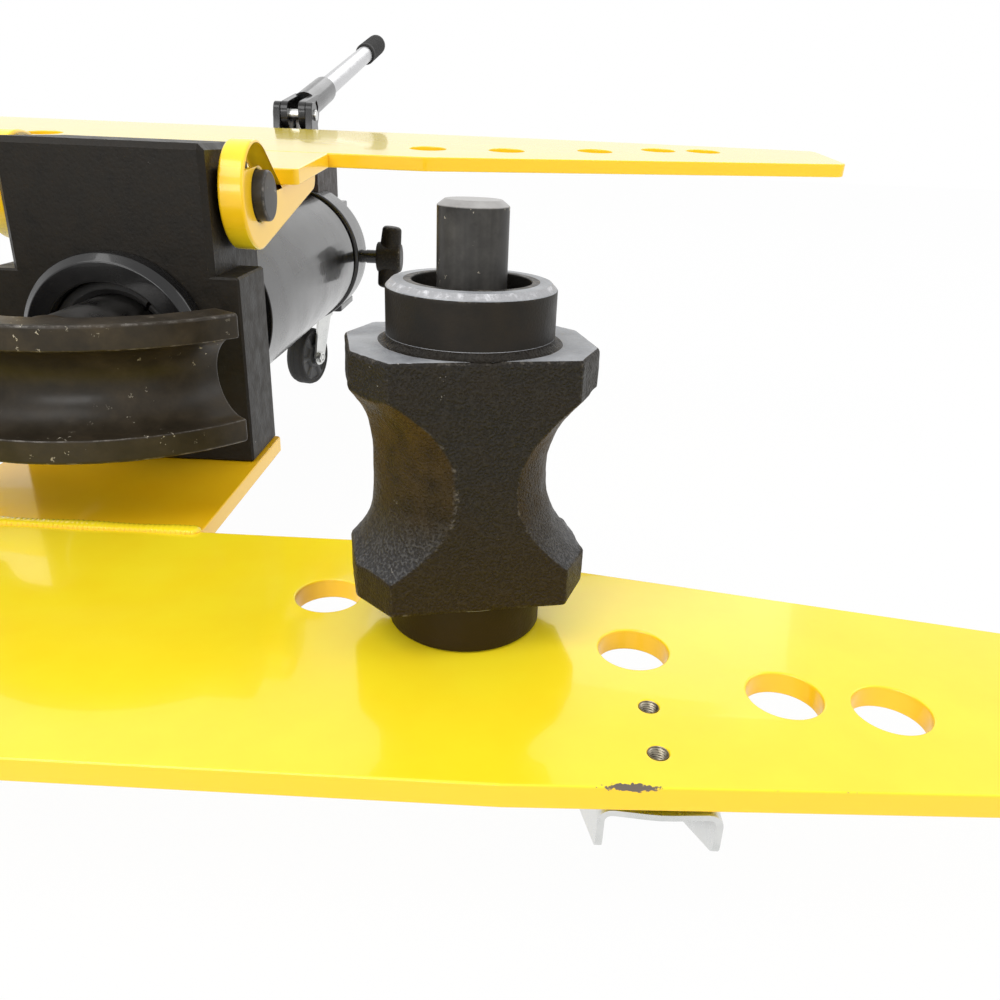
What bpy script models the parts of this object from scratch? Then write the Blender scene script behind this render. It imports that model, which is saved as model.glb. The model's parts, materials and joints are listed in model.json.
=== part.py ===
# Pipe bending machine: an open-wing hydraulic pipe bender on casters.
# Metres, +Z up.  X runs along the wings, -Y is the side where the pipe is bent.
# The origin is on the floor, under the middle of the whole machine.
import math

import bmesh
import bpy
from mathutils import Matrix, Vector

# Running gap between pieces that touch
GAP = 0.0003

# Facets round a small bolt, a hole or pin, a wheel, and a large turned piece
SIDES_SMALL = 12
SIDES_MEDIUM = 20
SIDES_WHEEL = 18
SIDES_LARGE = 32
ARC_STEP = math.radians(20)

# Wings: one outline, used by the lower plate and by the hinged upper one.
# "Ahead" is a distance from the front face of the seat block, towards -Y.
PLATE_THICKNESS = 0.012
WING_HALF_LENGTH = 0.590
WING_FRONT_AHEAD = 0.328
WING_DEPTH = 0.208
WING_SHOULDER_X = 0.190
WING_REAR_SLANT = math.radians(11.6)
WING_NOSE_X = 0.285
WING_FRONT_SLANT = math.radians(2.5)
WING_CORNER_RADIUS = 0.010
PIN_HOLE_PLAY = 0.0015
PIN_STATIONS = ((0.186, 0.189), (0.261, 0.200), (0.348, 0.227), (0.415, 0.259), (0.462, 0.266))
ROLLER_STATION = 1
LOWER_NECK_HALF_WIDTH = 0.091
LOWER_NECK_PAST_SEAT = 0.003
UPPER_NECK_HALF_WIDTH = 0.105
UPPER_NECK_AHEAD = 0.012
WELD_RADIUS = 0.0035
WELD_RISE = 0.00175
WELD_END_MARGIN = 0.018
WING_CLEARANCE = 0.0023

# Seat block with the ram bore and the hinge of the upper wing
SEAT_HALF_WIDTH = 0.0875
SEAT_DEPTH = 0.059
SEAT_HEIGHT = 0.136
TOWER_DEPTH = 0.096
TOWER_ABOVE_HINGE = 0.034
TOWER_BOTTOM = 0.010
TOWER_CHAMFER = 0.004
SEAT_EDGE = 0.0015
SOCKET_DEPTH = 0.104
SOCKET_WALL = 0.0055
SOCKET_ROOF = 0.013
SOCKET_BOTTOM = 0.012
HINGE_ABOVE_WING = 0.011
HINGE_PIN_RADIUS = 0.0175
HINGE_PIN_PROUD = 0.008
HINGE_PIN_EDGE = 0.0015
SEAT_BOLT_RADIUS = 0.007
SEAT_BOLT_X = 0.060
SEAT_BOLT_BEHIND = 0.030
SEAT_BOLT_LENGTH = 0.036
SEAT_BOLT_HEAD = 0.009

# Hinge lugs of the upper wing
LUG_THICKNESS = 0.018
LUG_SIDE_GAP = 0.0035
LUG_RADIUS = 0.0375
LUG_LENGTH = 0.171
LUG_NOSE_HEIGHT = 0.0185
LUG_NOSE_RAKE = 0.002
LUG_NOSE_CORNER = 0.012
LUG_LOW_ANGLE = math.radians(42)
WING_OPEN_ANGLE = math.radians(175)

# Ram and cylinder
RAM_HEIGHT = 0.088
ROD_RADIUS = 0.034
ROD_AHEAD = 0.084
NOSE_RADIUS = 0.014
NOSE_LENGTH = 0.022
NOSE_END_GAP = 0.002
COLLAR_RADIUS = 0.0635
COLLAR_FACE_RADIUS = 0.058
WIPER_WIDTH = 0.0105
COLLAR_LENGTH = 0.018
WIPER_LENGTH = 0.008
WIPER_CHAMFER = 0.002
CYLINDER_WALL = 0.013
BORE_RADIUS = 0.065
CYLINDER_END = 0.452
PISTON_LENGTH = 0.040
PISTON_BEHIND = 0.300
SEAL_WIDTH = 0.006
SPRING_WIRE = 0.005
SPRING_FROM_BORE = 0.013
SPRING_TURNS = 8
FLANGE_LIP = 0.003
FLANGE_NECK_STEP = 0.005
FLANGE_NECK_LENGTH = 0.010
FLANGE_LENGTH = 0.056
FLANGE_CHAMFER = 0.003
REST_BEHIND = 0.350
REST_SIZE = (0.056, 0.040)
REST_PAD = 0.008
REST_PAD_EDGE = 0.0015

# Bending die on the ram's nose
DIE_RADIUS = 0.1386
DIE_HALF_ANGLE = math.radians(54.4)
DIE_HALF_HEIGHT = 0.041
DIE_GROOVE_RADIUS = 0.026
DIE_FLANGE_DEPTH = 0.022
DIE_BACK_RADIUS = 0.098
DIE_BACK_HALF_HEIGHT = 0.024
DIE_BOSS_RADIUS = 0.036
DIE_WEB = 0.004
DIE_STEPS = 16

# Rollers and their loose pins
HUB_RADIUS = 0.039
HUB_CHAMFER = 0.0025
ROLLER_HEIGHT = 0.1734
ROLLER_BLOCK_BOTTOM = 0.025
ROLLER_BLOCK_TOP = 0.146
ROLLER_HALF_WIDTH = 0.057
ROLLER_HALF_DEPTH = 0.042
ROLLER_CORNER_X = 0.0147
ROLLER_CORNER_Y = 0.023
ROLLER_TURN = math.radians(13.6)
ROLLER_BORE_PLAY = 0.0005
COUNTERBORE_RADIUS = 0.0271
COUNTERBORE_DEPTH = 0.030
# Each groove: its centre towards its own side, waist radius, flare at the lips, half height, flare's power
LARGE_GROOVE = (0.00255, 0.0432, 0.0145, 0.0435, 3.2)
SMALL_GROOVE = (-0.0128, 0.0509, 0.0190, 0.0420, 2.3)
GROOVE_STEPS = 8
PIN_RADIUS = 0.016
PIN_ABOVE_WING = 0.020
PIN_BELOW_PLATE = 0.006
PIN_CHAMFER = 0.002
PIN_RING_STEP = 0.0011
PIN_RING_LENGTH = 0.003

# Casters: fixed ones under the wings, a swivel one under the pump end
GROUND_CLEARANCE = 0.078
WHEEL_RADIUS = 0.025
WHEEL_WIDTH = 0.026
TYRE_DEPTH = 0.006
TYRE_SHOULDER = (0.0015, 0.005)
WHEEL_DISH = 0.0035
WHEEL_HUB_SHARE = 0.45
AXLE_RADIUS = 0.004
AXLE_HEAD_RADIUS = 0.0076
AXLE_HEAD_HEIGHT = 0.005
AXLE_AHEAD = 0.236
BRACKET_X = 0.350
BRACKET_AHEAD = 0.2885
BRACKET_LENGTH = 0.073
BRACKET_HALF_WIDTH = 0.0255
BRACKET_SHEET = 0.003
BRACKET_CORNER = 0.006
BRACKET_DIP = 0.002
BRACKET_SAG_RADIUS = 0.060
BRACKET_WAIST = 0.020
LEG_HALF_LENGTH = 0.018
LEG_BELOW_AXLE = 0.012
CASTER_SCREW_PITCH = 0.031
CASTER_SCREW_RADIUS = 0.0042
CASTER_SCREW_HEAD = 0.005
REAR_CASTER_HEIGHT = 0.101
REAR_CASTER_FROM_BLOCK = 0.0357
REAR_CASTER_TURN = math.radians(165)
REAR_WHEEL_RADIUS = 0.0375
REAR_WHEEL_WIDTH = 0.024
REAR_TRAIL = 0.022
REAR_FORK_SHEET = 0.003
REAR_FORK_SIDE_GAP = 0.0025
REAR_FOOT_RADIUS = 0.011
REAR_FOOT_CORNER = 0.009
REAR_CROWN_RADIUS = 0.0255
REAR_TOP_PLATE = (0.052, 0.064, 0.003)
REAR_CUP_RADIUS = 0.0215
REAR_CUP_DEPTH = 0.006
REAR_CUP_TAPER = 0.002
BASE_PLATE = (0.090, 0.082, 0.008)
BASE_PLATE_SET_BACK = 0.002

# Pump at the rear end
VALVE_BLOCK_HALF_WIDTH = 0.045
VALVE_BLOCK_DEPTH = 0.066
VALVE_BLOCK_EDGE = 0.002
PUMP_HALF_WIDTH = 0.034
PUMP_BOTTOM = 0.146
PUMP_TOP = 0.200
PUMP_DEPTH = 0.116
PUMP_SET_BACK = 0.004
PUMP_EDGE = 0.004
PLUNGER_RADIUS = 0.009
PLUNGER_DEPTH = 0.060
PLUNGER_WELL_DEPTH = 0.075
PLUNGER_FROM_BLOCK = 0.0297
TONGUE_THICKNESS = 0.010
TONGUE_RADIUS = 0.013
TONGUE_HOLE_RADIUS = 0.0075
TONGUE_DROP = 0.0185
TONGUE_OVERLAP = 0.004
TONGUE_CORNER = 0.008
LINK_PIN_RADIUS = 0.004
LINK_PIN_PROUD = 0.0005
LEVER_ARM = 0.035
LEVER_DROP_ANGLE = math.radians(20)
LEVER_PIVOT_RADIUS = 0.006
LEVER_PIVOT_PROUD = 0.003
LEVER_CHEEK = 0.008
LEVER_CHEEK_INSIDE = 0.0065
LEVER_HUB = 0.013
LEVER_LINK_DROP = 0.014
LEVER_LINK_REACH = 0.006
LEVER_CORNER = 0.012
LEVER_TAIL = 0.012
LEVER_FOOT_CLEARANCE = 0.0137
CHEEK_FOOT_HEIGHT = 0.006
CHEEK_FOOT_HALF_LENGTH = 0.022
CHEEK_FOOT_RIM = 0.001
CHEEK_TOP_HALF_LENGTH = 0.012
CHEEK_TOP = 0.014
CHEEK_CORNER = 0.010
SOCKET_ANGLE = math.radians(12)
SOCKET_START = 0.050
SOCKET_TUBE_LENGTH = 0.110
SOCKET_TUBE_RADIUS = 0.0165
HANDLE_RADIUS = 0.0125
HANDLE_LENGTH = 0.520
HANDLE_INSERT = 0.080
HANDLE_WALL = 0.0025
GRIP_LENGTH = 0.120
GRIP_RADIUS = 0.016
GRIP_OVERHANG = 0.004
GRIP_CHAMFER = 0.003
VALVE_FROM_NECK = 0.026
VALVE_STEM_RADIUS = 0.008
VALVE_STEM_PROUD = 0.029
VALVE_STEM_DEPTH = 0.0324
VALVE_CHAMBER = 0.008
KNOB_HUB_RADIUS = 0.018
KNOB_HUB_LENGTH = 0.030
KNOB_OVERLAP = 0.010
KNOB_ROOT_RADIUS = 0.014
KNOB_TIP_RADIUS = 0.0118
KNOB_EDGE = 0.002
KNOB_HALF_SPAN = 0.037
KNOB_TILT = math.radians(6)
PLUG_X = 0.020
PLUG_BEHIND_PLUNGER = 0.019
PLUG_RADIUS = 0.009
PLUG_HEAD_HEIGHT = 0.008
PLUG_THREAD_RADIUS = 0.0055
PLUG_THREAD_DEPTH = 0.008
PLUG_END_GAP = 0.004

# Sizes and places that follow from those above: what fits together shares one value and a clearance
PIN_HOLE_RADIUS = PIN_RADIUS + PIN_HOLE_PLAY
ROLLER_BORE_RADIUS = PIN_RADIUS + ROLLER_BORE_PLAY
PIN_RING_RADIUS = PIN_RADIUS + PIN_RING_STEP
CYLINDER_RADIUS = BORE_RADIUS + CYLINDER_WALL
TOWER_HALF_WIDTH = BORE_RADIUS + SOCKET_WALL
SOCKET_HEIGHT = RAM_HEIGHT + BORE_RADIUS + SOCKET_ROOF
COLLAR_BORE_RADIUS = ROD_RADIUS + WIPER_WIDTH
SPRING_RADIUS = BORE_RADIUS - SPRING_FROM_BORE
FLANGE_RADIUS = CYLINDER_RADIUS + FLANGE_LIP
FLANGE_NECK_RADIUS = CYLINDER_RADIUS - FLANGE_NECK_STEP
WING_GAP = GAP + ROLLER_HEIGHT + WING_CLEARANCE
HINGE_BEHIND = TOWER_DEPTH / 2
HINGE_HEIGHT = WING_GAP + HINGE_ABOVE_WING
TOWER_HEIGHT = HINGE_HEIGHT + TOWER_ABOVE_HINGE
LOWER_NECK_BEHIND = SEAT_DEPTH + LOWER_NECK_PAST_SEAT
PIN_TOP = WING_GAP + PLATE_THICKNESS + PIN_ABOVE_WING
PLATE_TOP = GROUND_CLEARANCE + PLATE_THICKNESS
PUMP_START = CYLINDER_END + FLANGE_NECK_LENGTH
VALVE_BEHIND = PUMP_START + VALVE_FROM_NECK
BLOCK_START = PUMP_START + FLANGE_LENGTH + GAP
REAR_CASTER_BEHIND = BLOCK_START + REAR_CASTER_FROM_BLOCK
PLUNGER_BEHIND = BLOCK_START + PLUNGER_FROM_BLOCK
LEVER_PIVOT_BEHIND = PLUNGER_BEHIND - LEVER_ARM * math.cos(LEVER_DROP_ANGLE)
CHEEK_FOOT_TOP = PUMP_TOP + GAP + CHEEK_FOOT_HEIGHT
LEVER_PIVOT_HEIGHT = (CHEEK_FOOT_TOP + LEVER_FOOT_CLEARANCE + LEVER_LINK_DROP
                      + LEVER_ARM * math.sin(LEVER_DROP_ANGLE))
GRIP_END = SOCKET_START + SOCKET_TUBE_LENGTH - HANDLE_INSERT + HANDLE_LENGTH + GRIP_OVERHANG
HANDLE_END = (LEVER_PIVOT_BEHIND + math.cos(SOCKET_ANGLE) * GRIP_END
              + math.sin(SOCKET_ANGLE) * (GRIP_RADIUS - GRIP_CHAMFER))
SEAT_Y = (WING_FRONT_AHEAD - HANDLE_END) / 2

COLOURS = {
    "yellow_paint": ((0.93, 0.66, 0.02), 0.18, 0.0),
    "black_paint": ((0.020, 0.020, 0.022), 0.30, 0.0),
    "blackened_steel": ((0.045, 0.042, 0.040), 0.50, 0.6),
    "cast_black": ((0.035, 0.033, 0.031), 0.62, 0.4),
    "bright_steel": ((0.55, 0.55, 0.56), 0.28, 1.0),
    "zinc": ((0.72, 0.73, 0.74), 0.25, 1.0),
    "rubber": ((0.025, 0.025, 0.026), 0.75, 0.0),
    "seal": ((0.30, 0.08, 0.06), 0.55, 0.0),
}


def make_material(name):
    colour, roughness, metallic = COLOURS[name]
    material = bpy.data.materials.new(name)
    material.use_nodes = True
    shader = material.node_tree.nodes["Principled BSDF"]
    shader.inputs["Base Color"].default_value = (*colour, 1.0)
    shader.inputs["Roughness"].default_value = roughness
    shader.inputs["Metallic"].default_value = metallic
    return material


def clear_scene():
    for item in list(bpy.data.objects):
        bpy.data.objects.remove(item, do_unlink=True)


clear_scene()
MATERIALS = {name: make_material(name) for name in COLOURS}
PARTS = bpy.data.collections.new("pipe_bending_machine")
CUTTERS = bpy.data.collections.new("pipe_bending_machine_cutters")
bpy.context.scene.collection.children.link(PARTS)
bpy.context.scene.collection.children.link(CUTTERS)


def place(x, behind, height):
    """World point from a distance behind the seat's front face and a height above the lower plate."""
    return Vector((x, SEAT_Y + behind, PLATE_TOP + height))


def register(name, mesh, material, centre, turn=None):
    """Link a mesh as a sub-part, or as a cutter where it has no material."""
    item = bpy.data.objects.new(name, mesh)
    item.location = centre
    if turn is not None:
        item.rotation_euler = turn
    if material is None:
        CUTTERS.objects.link(item)
        item.hide_render = True
        item.display_type = "WIRE"
    else:
        PARTS.objects.link(item)
        mesh.materials.append(MATERIALS[material])
    return item


def box(name, size, centre, material=None, turn=None, bevel=0.0):
    bm = bmesh.new()
    bmesh.ops.create_cube(bm, size=1.0)
    bmesh.ops.scale(bm, vec=Vector(size), verts=bm.verts)
    mesh = bpy.data.meshes.new(name)
    bm.to_mesh(mesh)
    bm.free()
    item = register(name, mesh, material, centre, turn)
    if bevel:
        add_bevel(item, bevel)
    return item


def add_bevel(item, width, segments=1):
    bevel = item.modifiers.new("edges", "BEVEL")
    bevel.width = width
    bevel.segments = segments
    bevel.limit_method = "ANGLE"
    bevel.angle_limit = math.radians(40)
    return bevel


AXIS_TURNS = {"X": (0.0, math.pi / 2, 0.0), "Y": (-math.pi / 2, 0.0, 0.0), "Z": (0.0, 0.0, 0.0)}

# Turned shapes and outlines that stand up: local Z points ahead, or out of a side view
FACING_AHEAD = (math.pi / 2, 0.0, 0.0)
SIDE_VIEW = (math.pi / 2, 0.0, math.pi / 2)
SIDE_VIEW_AHEAD = (math.pi / 2, 0.0, -math.pi / 2)


def cylinder(name, radius, length, centre, axis="Z", material=None, sides=SIDES_LARGE, bevel=0.0, tip=None):
    """A rod centred on its length; tip is the radius at the far end where it tapers."""
    bm = bmesh.new()
    bmesh.ops.create_cone(bm, cap_ends=True, segments=sides, radius1=radius,
                          radius2=radius if tip is None else tip, depth=length)
    mesh = bpy.data.meshes.new(name)
    bm.to_mesh(mesh)
    bm.free()
    mesh.shade_smooth()
    mesh.set_sharp_from_angle(angle=math.radians(40))
    turn = AXIS_TURNS[axis] if isinstance(axis, str) else axis
    item = register(name, mesh, material, centre, turn)
    if bevel:
        add_bevel(item, bevel)
    return item


def turned(name, profile, centre, axis="Z", material=None, steps=SIDES_LARGE, closed=False):
    """Screw a profile of (radius, height) points, given from the top down its outer side."""
    mesh = bpy.data.meshes.new(name)
    points = [(radius, 0.0, height) for radius, height in profile]
    edges = [(i, i + 1) for i in range(len(points) - 1)]
    if closed:
        edges.append((len(points) - 1, 0))
    mesh.from_pydata(points, edges, [])
    turn = AXIS_TURNS[axis] if isinstance(axis, str) else axis
    item = register(name, mesh, material, centre, turn)
    screw = item.modifiers.new("turn", "SCREW")
    screw.axis = "Z"
    screw.angle = 2 * math.pi
    screw.steps = steps
    screw.render_steps = steps
    screw.use_merge_vertices = True
    screw.merge_threshold = 0.00001
    screw.use_smooth_shade = True
    return item


def ring(name, outer, inner, length, centre, axis="Z", material=None, steps=SIDES_LARGE, chamfer=0.0):
    half = length / 2
    profile = [(inner, half), (outer - chamfer, half), (outer, half - chamfer), (outer, -half),
               (inner, -half)]
    if not chamfer:
        profile.pop(2)
    return turned(name, profile, centre, axis, material, steps, closed=True)


def rounded(corners):
    """Outline points from (x, y, radius) corners, each rounded by an arc that is tangent to its sides."""
    points = []
    count = len(corners)
    for i, (x, y, radius) in enumerate(corners):
        here = Vector((x, y))
        if not radius:
            points.append(here)
            continue
        before = (Vector(corners[i - 1][:2]) - here).normalized()
        after = (Vector(corners[(i + 1) % count][:2]) - here).normalized()
        half = before.angle(after) / 2
        reach = radius / math.tan(half)
        centre = here + (before + after).normalized() * radius / math.sin(half)
        start = here + before * reach - centre
        swing = start.angle_signed(here + after * reach - centre)
        steps = max(2, math.ceil(abs(swing) / ARC_STEP))
        for k in range(steps + 1):
            points.append(centre + Matrix.Rotation(-swing * k / steps, 2) @ start)
    return points


def plate(name, outline, thickness, centre, material=None, turn=None):
    """A flat outline in its own XY plane, half its thickness to each side, as a closed mesh."""
    curve = bpy.data.curves.new(name, "CURVE")
    curve.dimensions = "2D"
    curve.fill_mode = "BOTH"
    curve.extrude = thickness / 2
    spline = curve.splines.new("POLY")
    spline.points.add(len(outline) - 1)
    for point, (x, y) in zip(spline.points, outline):
        point.co = (x, y, 0.0, 1.0)
    spline.use_cyclic_u = True
    sheet = bpy.data.objects.new(name + "_outline", curve)
    CUTTERS.objects.link(sheet)
    bpy.context.view_layer.update()
    depsgraph = bpy.context.evaluated_depsgraph_get()
    mesh = bpy.data.meshes.new_from_object(sheet.evaluated_get(depsgraph))
    mesh.name = name
    bm = bmesh.new()
    bm.from_mesh(mesh)
    bmesh.ops.remove_doubles(bm, verts=bm.verts, dist=0.00001)
    bmesh.ops.recalc_face_normals(bm, faces=bm.faces)
    bm.to_mesh(mesh)
    bm.free()
    bpy.data.objects.remove(sheet, do_unlink=True)
    bpy.data.curves.remove(curve)
    mesh.materials.clear()
    return register(name, mesh, material, centre, turn)


def boolean(target, tool, operation):
    """Cut or join one object by another, which then follows the target wherever it is placed."""
    tool.parent = target
    tool.matrix_parent_inverse = target.matrix_basis.inverted()
    step = target.modifiers.new(tool.name, "BOOLEAN")
    step.operation = operation
    step.solver = "EXACT"
    step.object = tool
    return target


def cut(target, *tools):
    for tool in tools:
        boolean(target, tool, "DIFFERENCE")
    return target


def join(target, *tools):
    for tool in tools:
        boolean(target, tool, "UNION")
    return target


def carry(name, centre, *pieces):
    """An empty on a joint's axis that carries its pieces."""
    pivot = bpy.data.objects.new(name, None)
    pivot.location = centre
    pivot.empty_display_size = 0.03
    PARTS.objects.link(pivot)
    for piece in pieces:
        piece.parent = pivot
        piece.matrix_parent_inverse = pivot.matrix_basis.inverted()
    return pivot


def wing_outline():
    """Half of the wing from the tip back to the middle, mirrored: straight front edge, slanted rear edge."""
    front = -WING_FRONT_AHEAD
    rear = front + WING_DEPTH
    tip_front = front + (WING_HALF_LENGTH - WING_NOSE_X) * math.tan(WING_FRONT_SLANT)
    tip_rear = rear - (WING_HALF_LENGTH - WING_SHOULDER_X) * math.tan(WING_REAR_SLANT)
    side = [(WING_NOSE_X, front, 0.0),
            (WING_HALF_LENGTH, tip_front, WING_CORNER_RADIUS),
            (WING_HALF_LENGTH, tip_rear, WING_CORNER_RADIUS),
            (WING_SHOULDER_X, rear, 0.0)]
    other = [(-x, y, radius) for x, y, radius in reversed(side)]
    return rounded(side + other)


def wing_plate(name, height, tapped):
    """One wing plate whose pin holes, and tapped caster holes, follow the stations."""
    item = plate(name, wing_outline(), PLATE_THICKNESS,
                 place(0.0, 0.0, height - PLATE_THICKNESS / 2), "yellow_paint")
    holes = []
    for side in (-1, 1):
        for x, ahead in PIN_STATIONS:
            holes.append((side * x, -ahead, PIN_HOLE_RADIUS, SIDES_MEDIUM))
        if tapped:
            for shift in (-CASTER_SCREW_PITCH / 2, CASTER_SCREW_PITCH / 2):
                behind = shift - BRACKET_AHEAD
                holes.append((side * BRACKET_X, behind, CASTER_SCREW_RADIUS + GAP, SIDES_SMALL))
    bores = [cylinder(f"{name}_hole_{i}", radius, 2 * PLATE_THICKNESS,
                      place(x, behind, height - PLATE_THICKNESS / 2), "Z", None, sides)
             for i, (x, behind, radius, sides) in enumerate(holes)]
    return cut(item, *bores)


def neck(name, half_width, start, end, height):
    """The flat neck that is welded to the wing's rear edge and reaches towards the seat."""
    outline = [(half_width, start), (half_width, end), (-half_width, end), (-half_width, start)]
    middle = place(0.0, 0.0, height - PLATE_THICKNESS / 2)
    return plate(name, outline, PLATE_THICKNESS, middle, "yellow_paint")


def weld_bead(name, half_width, behind, height):
    """A low rounded bead lying across the joint of the wing and its neck."""
    steps = 6
    outline = [(WELD_RADIUS * math.cos(math.pi * k / steps), WELD_RISE * math.sin(math.pi * k / steps))
               for k in range(steps + 1)]
    return plate(name, outline, 2 * half_width, place(0.0, behind, height + GAP), "yellow_paint", SIDE_VIEW)


def lower_deck():
    rear = -WING_FRONT_AHEAD + WING_DEPTH
    wing_plate("lower_wing_plate", 0.0, True)
    neck("lower_neck_plate", LOWER_NECK_HALF_WIDTH, rear + GAP, LOWER_NECK_BEHIND, 0.0)
    weld_bead("lower_neck_weld", LOWER_NECK_HALF_WIDTH, rear, 0.0)


def seat():
    """Seat block: a wide foot, a tower for the hinge pin, and a socket for the cylinder."""
    foot_height = SEAT_HEIGHT - GAP
    block = box("seat_block", (2 * SEAT_HALF_WIDTH, SEAT_DEPTH, foot_height),
                place(0.0, SEAT_DEPTH / 2, GAP + foot_height / 2), "cast_black", bevel=SEAT_EDGE)
    tower = box("seat_tower", (2 * TOWER_HALF_WIDTH, TOWER_DEPTH, TOWER_HEIGHT - TOWER_BOTTOM),
                place(0.0, TOWER_DEPTH / 2, (TOWER_HEIGHT + TOWER_BOTTOM) / 2))
    add_bevel(tower, TOWER_CHAMFER)
    socket_start = SEAT_DEPTH / 2
    socket_size = (2 * TOWER_HALF_WIDTH, SOCKET_DEPTH - socket_start, SOCKET_HEIGHT - SOCKET_BOTTOM)
    socket = box("seat_socket", socket_size,
                 place(0.0, (SOCKET_DEPTH + socket_start) / 2, (SOCKET_HEIGHT + SOCKET_BOTTOM) / 2))
    add_bevel(socket, TOWER_CHAMFER)
    join(block, tower, socket)
    ram_bore = cylinder("ram_bore", ROD_RADIUS + GAP, 2 * SOCKET_DEPTH,
                        place(0.0, SOCKET_DEPTH / 2, RAM_HEIGHT), "Y")
    chamber = cylinder("front_chamber", BORE_RADIUS, SOCKET_DEPTH,
                       place(0.0, SOCKET_DEPTH, RAM_HEIGHT), "Y")
    hinge_bore = cylinder("hinge_bore", HINGE_PIN_RADIUS + GAP, 4 * TOWER_HALF_WIDTH,
                          place(0.0, HINGE_BEHIND, HINGE_HEIGHT), "X", None, SIDES_MEDIUM)
    cut(block, ram_bore, chamber, hinge_bore)
    under_neck = -PLATE_THICKNESS - GAP
    for label, side in (("left", -1), ("right", 1)):
        spot = place(side * SEAT_BOLT_X, SEAT_BOLT_BEHIND, under_neck)
        hex_bolt(f"seat_bolt_{label}", SEAT_BOLT_RADIUS, SEAT_BOLT_LENGTH, spot, SEAT_BOLT_HEAD)
        for piece in (block, bpy.data.objects["lower_neck_plate"]):
            cut(piece, cylinder(f"{piece.name}_drill_{label}", SEAT_BOLT_RADIUS + GAP,
                                2 * (SEAT_BOLT_LENGTH + GAP), spot, "Z", None, SIDES_SMALL))


def hex_bolt(name, radius, length, under_head, head_height):
    """A hexagon bolt pointing up, the upper face of its head at under_head."""
    head_ratio = 1.8
    bolt = cylinder(name, head_ratio * radius, head_height, under_head - Vector((0, 0, head_height / 2)), "Z",
                    "zinc", 6)
    shank_length = length + head_height / 2
    shank_middle = under_head + Vector((0, 0, length - shank_length / 2))
    join(bolt, cylinder(name + "_shank", radius, shank_length, shank_middle, "Z", None, SIDES_SMALL))


def collar_and_wiper():
    half = COLLAR_LENGTH / 2
    slope = COLLAR_RADIUS - COLLAR_FACE_RADIUS
    profile = [(COLLAR_BORE_RADIUS, half), (COLLAR_FACE_RADIUS, half), (COLLAR_RADIUS, half - slope),
               (COLLAR_RADIUS, -half), (COLLAR_BORE_RADIUS, -half)]
    turned("gland_collar", profile, place(0.0, -GAP - half, RAM_HEIGHT), FACING_AHEAD, "black_paint",
           closed=True)
    ring("rod_wiper", COLLAR_BORE_RADIUS - GAP, ROD_RADIUS + GAP, WIPER_LENGTH,
         place(0.0, -GAP - WIPER_LENGTH / 2, RAM_HEIGHT), FACING_AHEAD, "rubber", chamfer=WIPER_CHAMFER)


def cylinder_assembly():
    """Tube, rear flange, and the piston with its seal and rod; only the last three move."""
    length = CYLINDER_END - SOCKET_DEPTH - GAP
    ring("cylinder_tube", CYLINDER_RADIUS, BORE_RADIUS, length,
         place(0.0, CYLINDER_END - length / 2, RAM_HEIGHT), FACING_AHEAD, "black_paint")
    start = CYLINDER_END + GAP
    neck_end = start + FLANGE_NECK_LENGTH
    end = start + FLANGE_NECK_LENGTH + FLANGE_LENGTH - GAP
    flange = turned("rear_flange",
                    [(0.0, -start), (FLANGE_NECK_RADIUS, -start), (FLANGE_NECK_RADIUS, -neck_end),
                     (FLANGE_RADIUS - FLANGE_CHAMFER, -neck_end), (FLANGE_RADIUS, -neck_end - FLANGE_CHAMFER),
                     (FLANGE_RADIUS, -end), (0.0, -end)],
                    place(0.0, 0.0, RAM_HEIGHT), FACING_AHEAD, "black_paint")
    bore_start = FLANGE_RADIUS - VALVE_STEM_DEPTH - VALVE_CHAMBER
    bore_middle = place(bore_start + FLANGE_RADIUS, VALVE_BEHIND, RAM_HEIGHT)
    cut(flange, cylinder("valve_bore", VALVE_STEM_RADIUS + GAP, 2 * FLANGE_RADIUS, bore_middle, "X",
                         None, SIDES_MEDIUM))
    piston_end = PISTON_BEHIND + PISTON_LENGTH
    groove = PISTON_BEHIND + PISTON_LENGTH / 2
    seal_floor = BORE_RADIUS - SEAL_WIDTH
    piston = turned("piston",
                    [(0.0, -PISTON_BEHIND), (BORE_RADIUS - GAP, -PISTON_BEHIND),
                     (BORE_RADIUS - GAP, SEAL_WIDTH / 2 - groove), (seal_floor, SEAL_WIDTH / 2 - groove),
                     (seal_floor, -SEAL_WIDTH / 2 - groove), (BORE_RADIUS - GAP, -SEAL_WIDTH / 2 - groove),
                     (BORE_RADIUS - GAP, -piston_end), (0.0, -piston_end)],
                    place(0.0, 0.0, RAM_HEIGHT), FACING_AHEAD, "bright_steel")
    seal = ring("piston_seal", BORE_RADIUS - GAP, seal_floor + GAP, SEAL_WIDTH - 2 * GAP,
                place(0.0, groove, RAM_HEIGHT), FACING_AHEAD, "seal")
    rod_length = PISTON_BEHIND - GAP + ROD_AHEAD
    rod = cylinder("ram_rod", ROD_RADIUS, rod_length,
                   place(0.0, PISTON_BEHIND - GAP - rod_length / 2, RAM_HEIGHT), "Y", "bright_steel")
    join(rod, cylinder("ram_nose", NOSE_RADIUS, 2 * NOSE_LENGTH,
                       place(0.0, -ROD_AHEAD, RAM_HEIGHT), "Y", None, SIDES_MEDIUM))
    return piston, seal, rod


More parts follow.
